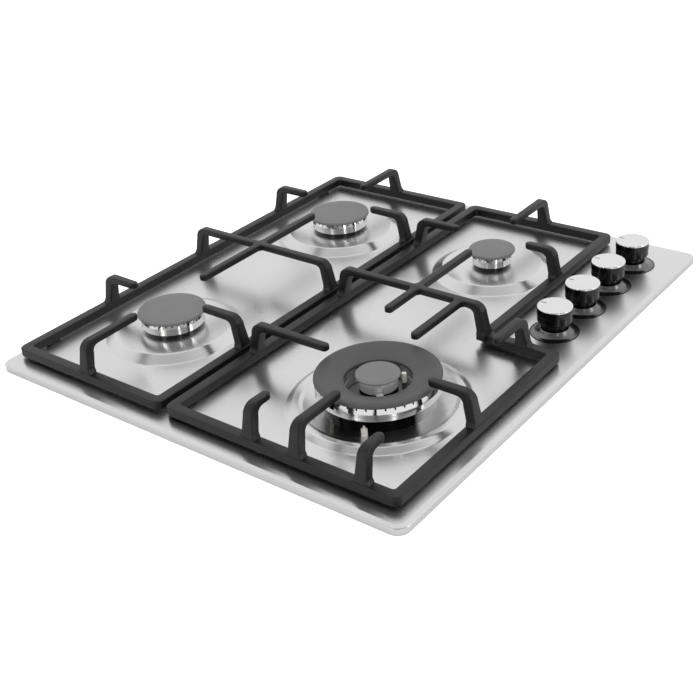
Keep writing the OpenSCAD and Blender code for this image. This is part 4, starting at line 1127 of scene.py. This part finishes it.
class COOKTOP_OT_stage(bpy.types.Operator):
    """Set up the camera, the soft light and the white worktop with its cut-out"""

    bl_idname = "cooktop.stage"
    bl_label = "Stage"

    def execute(self, context):
        s = context.scene.cooktop_stage
        camera = bpy.data.objects.new("camera", bpy.data.cameras.new("camera"))
        context.collection.objects.link(camera)
        turn = (
            Matrix.Rotation(s.heading - np.pi / 2, 3, "Z")
            @ Matrix.Rotation(np.pi / 2 - s.tilt, 3, "X")
            @ Matrix.Rotation(-s.roll, 3, "Z")
        )
        camera.matrix_world = Matrix.Translation(Vector(s.place)) @ turn.to_4x4()
        camera.data.lens = s.lens
        camera.data.sensor_width = 36
        camera.data.clip_end = 100
        context.scene.camera = camera

        low, high = corners("bottom_tray")
        reach = 6.0
        near = 5 * MM
        x0, x1, y0, y1 = low[0] - near, high[0] + near, low[1] - near, high[1] + near
        z = WORKTOP_Z
        inner = [(x0, y0, z), (x1, y0, z), (x1, y1, z), (x0, y1, z)]
        outer = [(-reach, -reach, z), (reach, -reach, z), (reach, reach, z), (-reach, reach, z)]
        mesh = bpy.data.meshes.new("worktop")
        mesh.from_pydata(inner + outer, [], [(4 + i, 4 + (i + 1) % 4, (i + 1) % 4, i) for i in range(4)])
        worktop = bpy.data.objects.new("worktop", mesh)
        context.collection.objects.link(worktop)
        mesh.materials.append(worktop_material(s.paper[:]))

        world_light(context.scene.world or bpy.data.worlds.new("world"))
        for lamp in LAMPS:
            area_lamp(*lamp)
        return {"FINISHED"}


class COOKTOP_PT_panel(bpy.types.Panel):
    """Steps of the cooktop"""

    bl_label = "Cooktop"
    bl_idname = "COOKTOP_PT_panel"
    bl_space_type = "VIEW_3D"
    bl_region_type = "UI"
    bl_category = "Cooktop"

    def draw(self, context):
        for step, group in STEPS:
            box = self.layout.box()
            box.operator(step.bl_idname)
            if group:
                settings = getattr(context.scene, group)
                for key in settings.__annotations__:
                    box.prop(settings, key)


STEPS = (
    (COOKTOP_OT_stage, "cooktop_stage"),
    (COOKTOP_OT_plate, "cooktop_plate"),
    (COOKTOP_OT_burners, "cooktop_burners"),
    (COOKTOP_OT_grates, "cooktop_grates"),
    (COOKTOP_OT_knobs, "cooktop_knobs"),
    (COOKTOP_OT_inner_parts, None),
)
SETTINGS = {
    "cooktop_stage": StageSettings,
    "cooktop_plate": PlateSettings,
    "cooktop_burners": BurnerSettings,
    "cooktop_grates": GrateSettings,
    "cooktop_knobs": KnobSettings,
}


def register():
    """Registers the settings, the steps and the panel."""
    for name, group in SETTINGS.items():
        bpy.utils.register_class(group)
        setattr(bpy.types.Scene, name, PointerProperty(type=group))
    for step, _ in STEPS:
        bpy.utils.register_class(step)
    bpy.utils.register_class(COOKTOP_PT_panel)


def unregister():
    """Takes the panel, the steps and the settings away again."""
    bpy.utils.unregister_class(COOKTOP_PT_panel)
    for step, _ in reversed(STEPS):
        bpy.utils.unregister_class(step)
    for name, group in SETTINGS.items():
        delattr(bpy.types.Scene, name)
        bpy.utils.unregister_class(group)


def main():
    """Runs each step."""
    register()
    scene = bpy.context.scene
    if scene.world is None:
        scene.world = bpy.data.worlds.new("world")
    scene.view_settings.view_transform = "Standard"
    bpy.ops.cooktop.stage()
    bpy.ops.cooktop.plate()
    bpy.ops.cooktop.burners()
    bpy.ops.cooktop.grates()
    bpy.ops.cooktop.knobs()
    bpy.ops.cooktop.inner_parts()


if __name__ == "__main__":
    main()
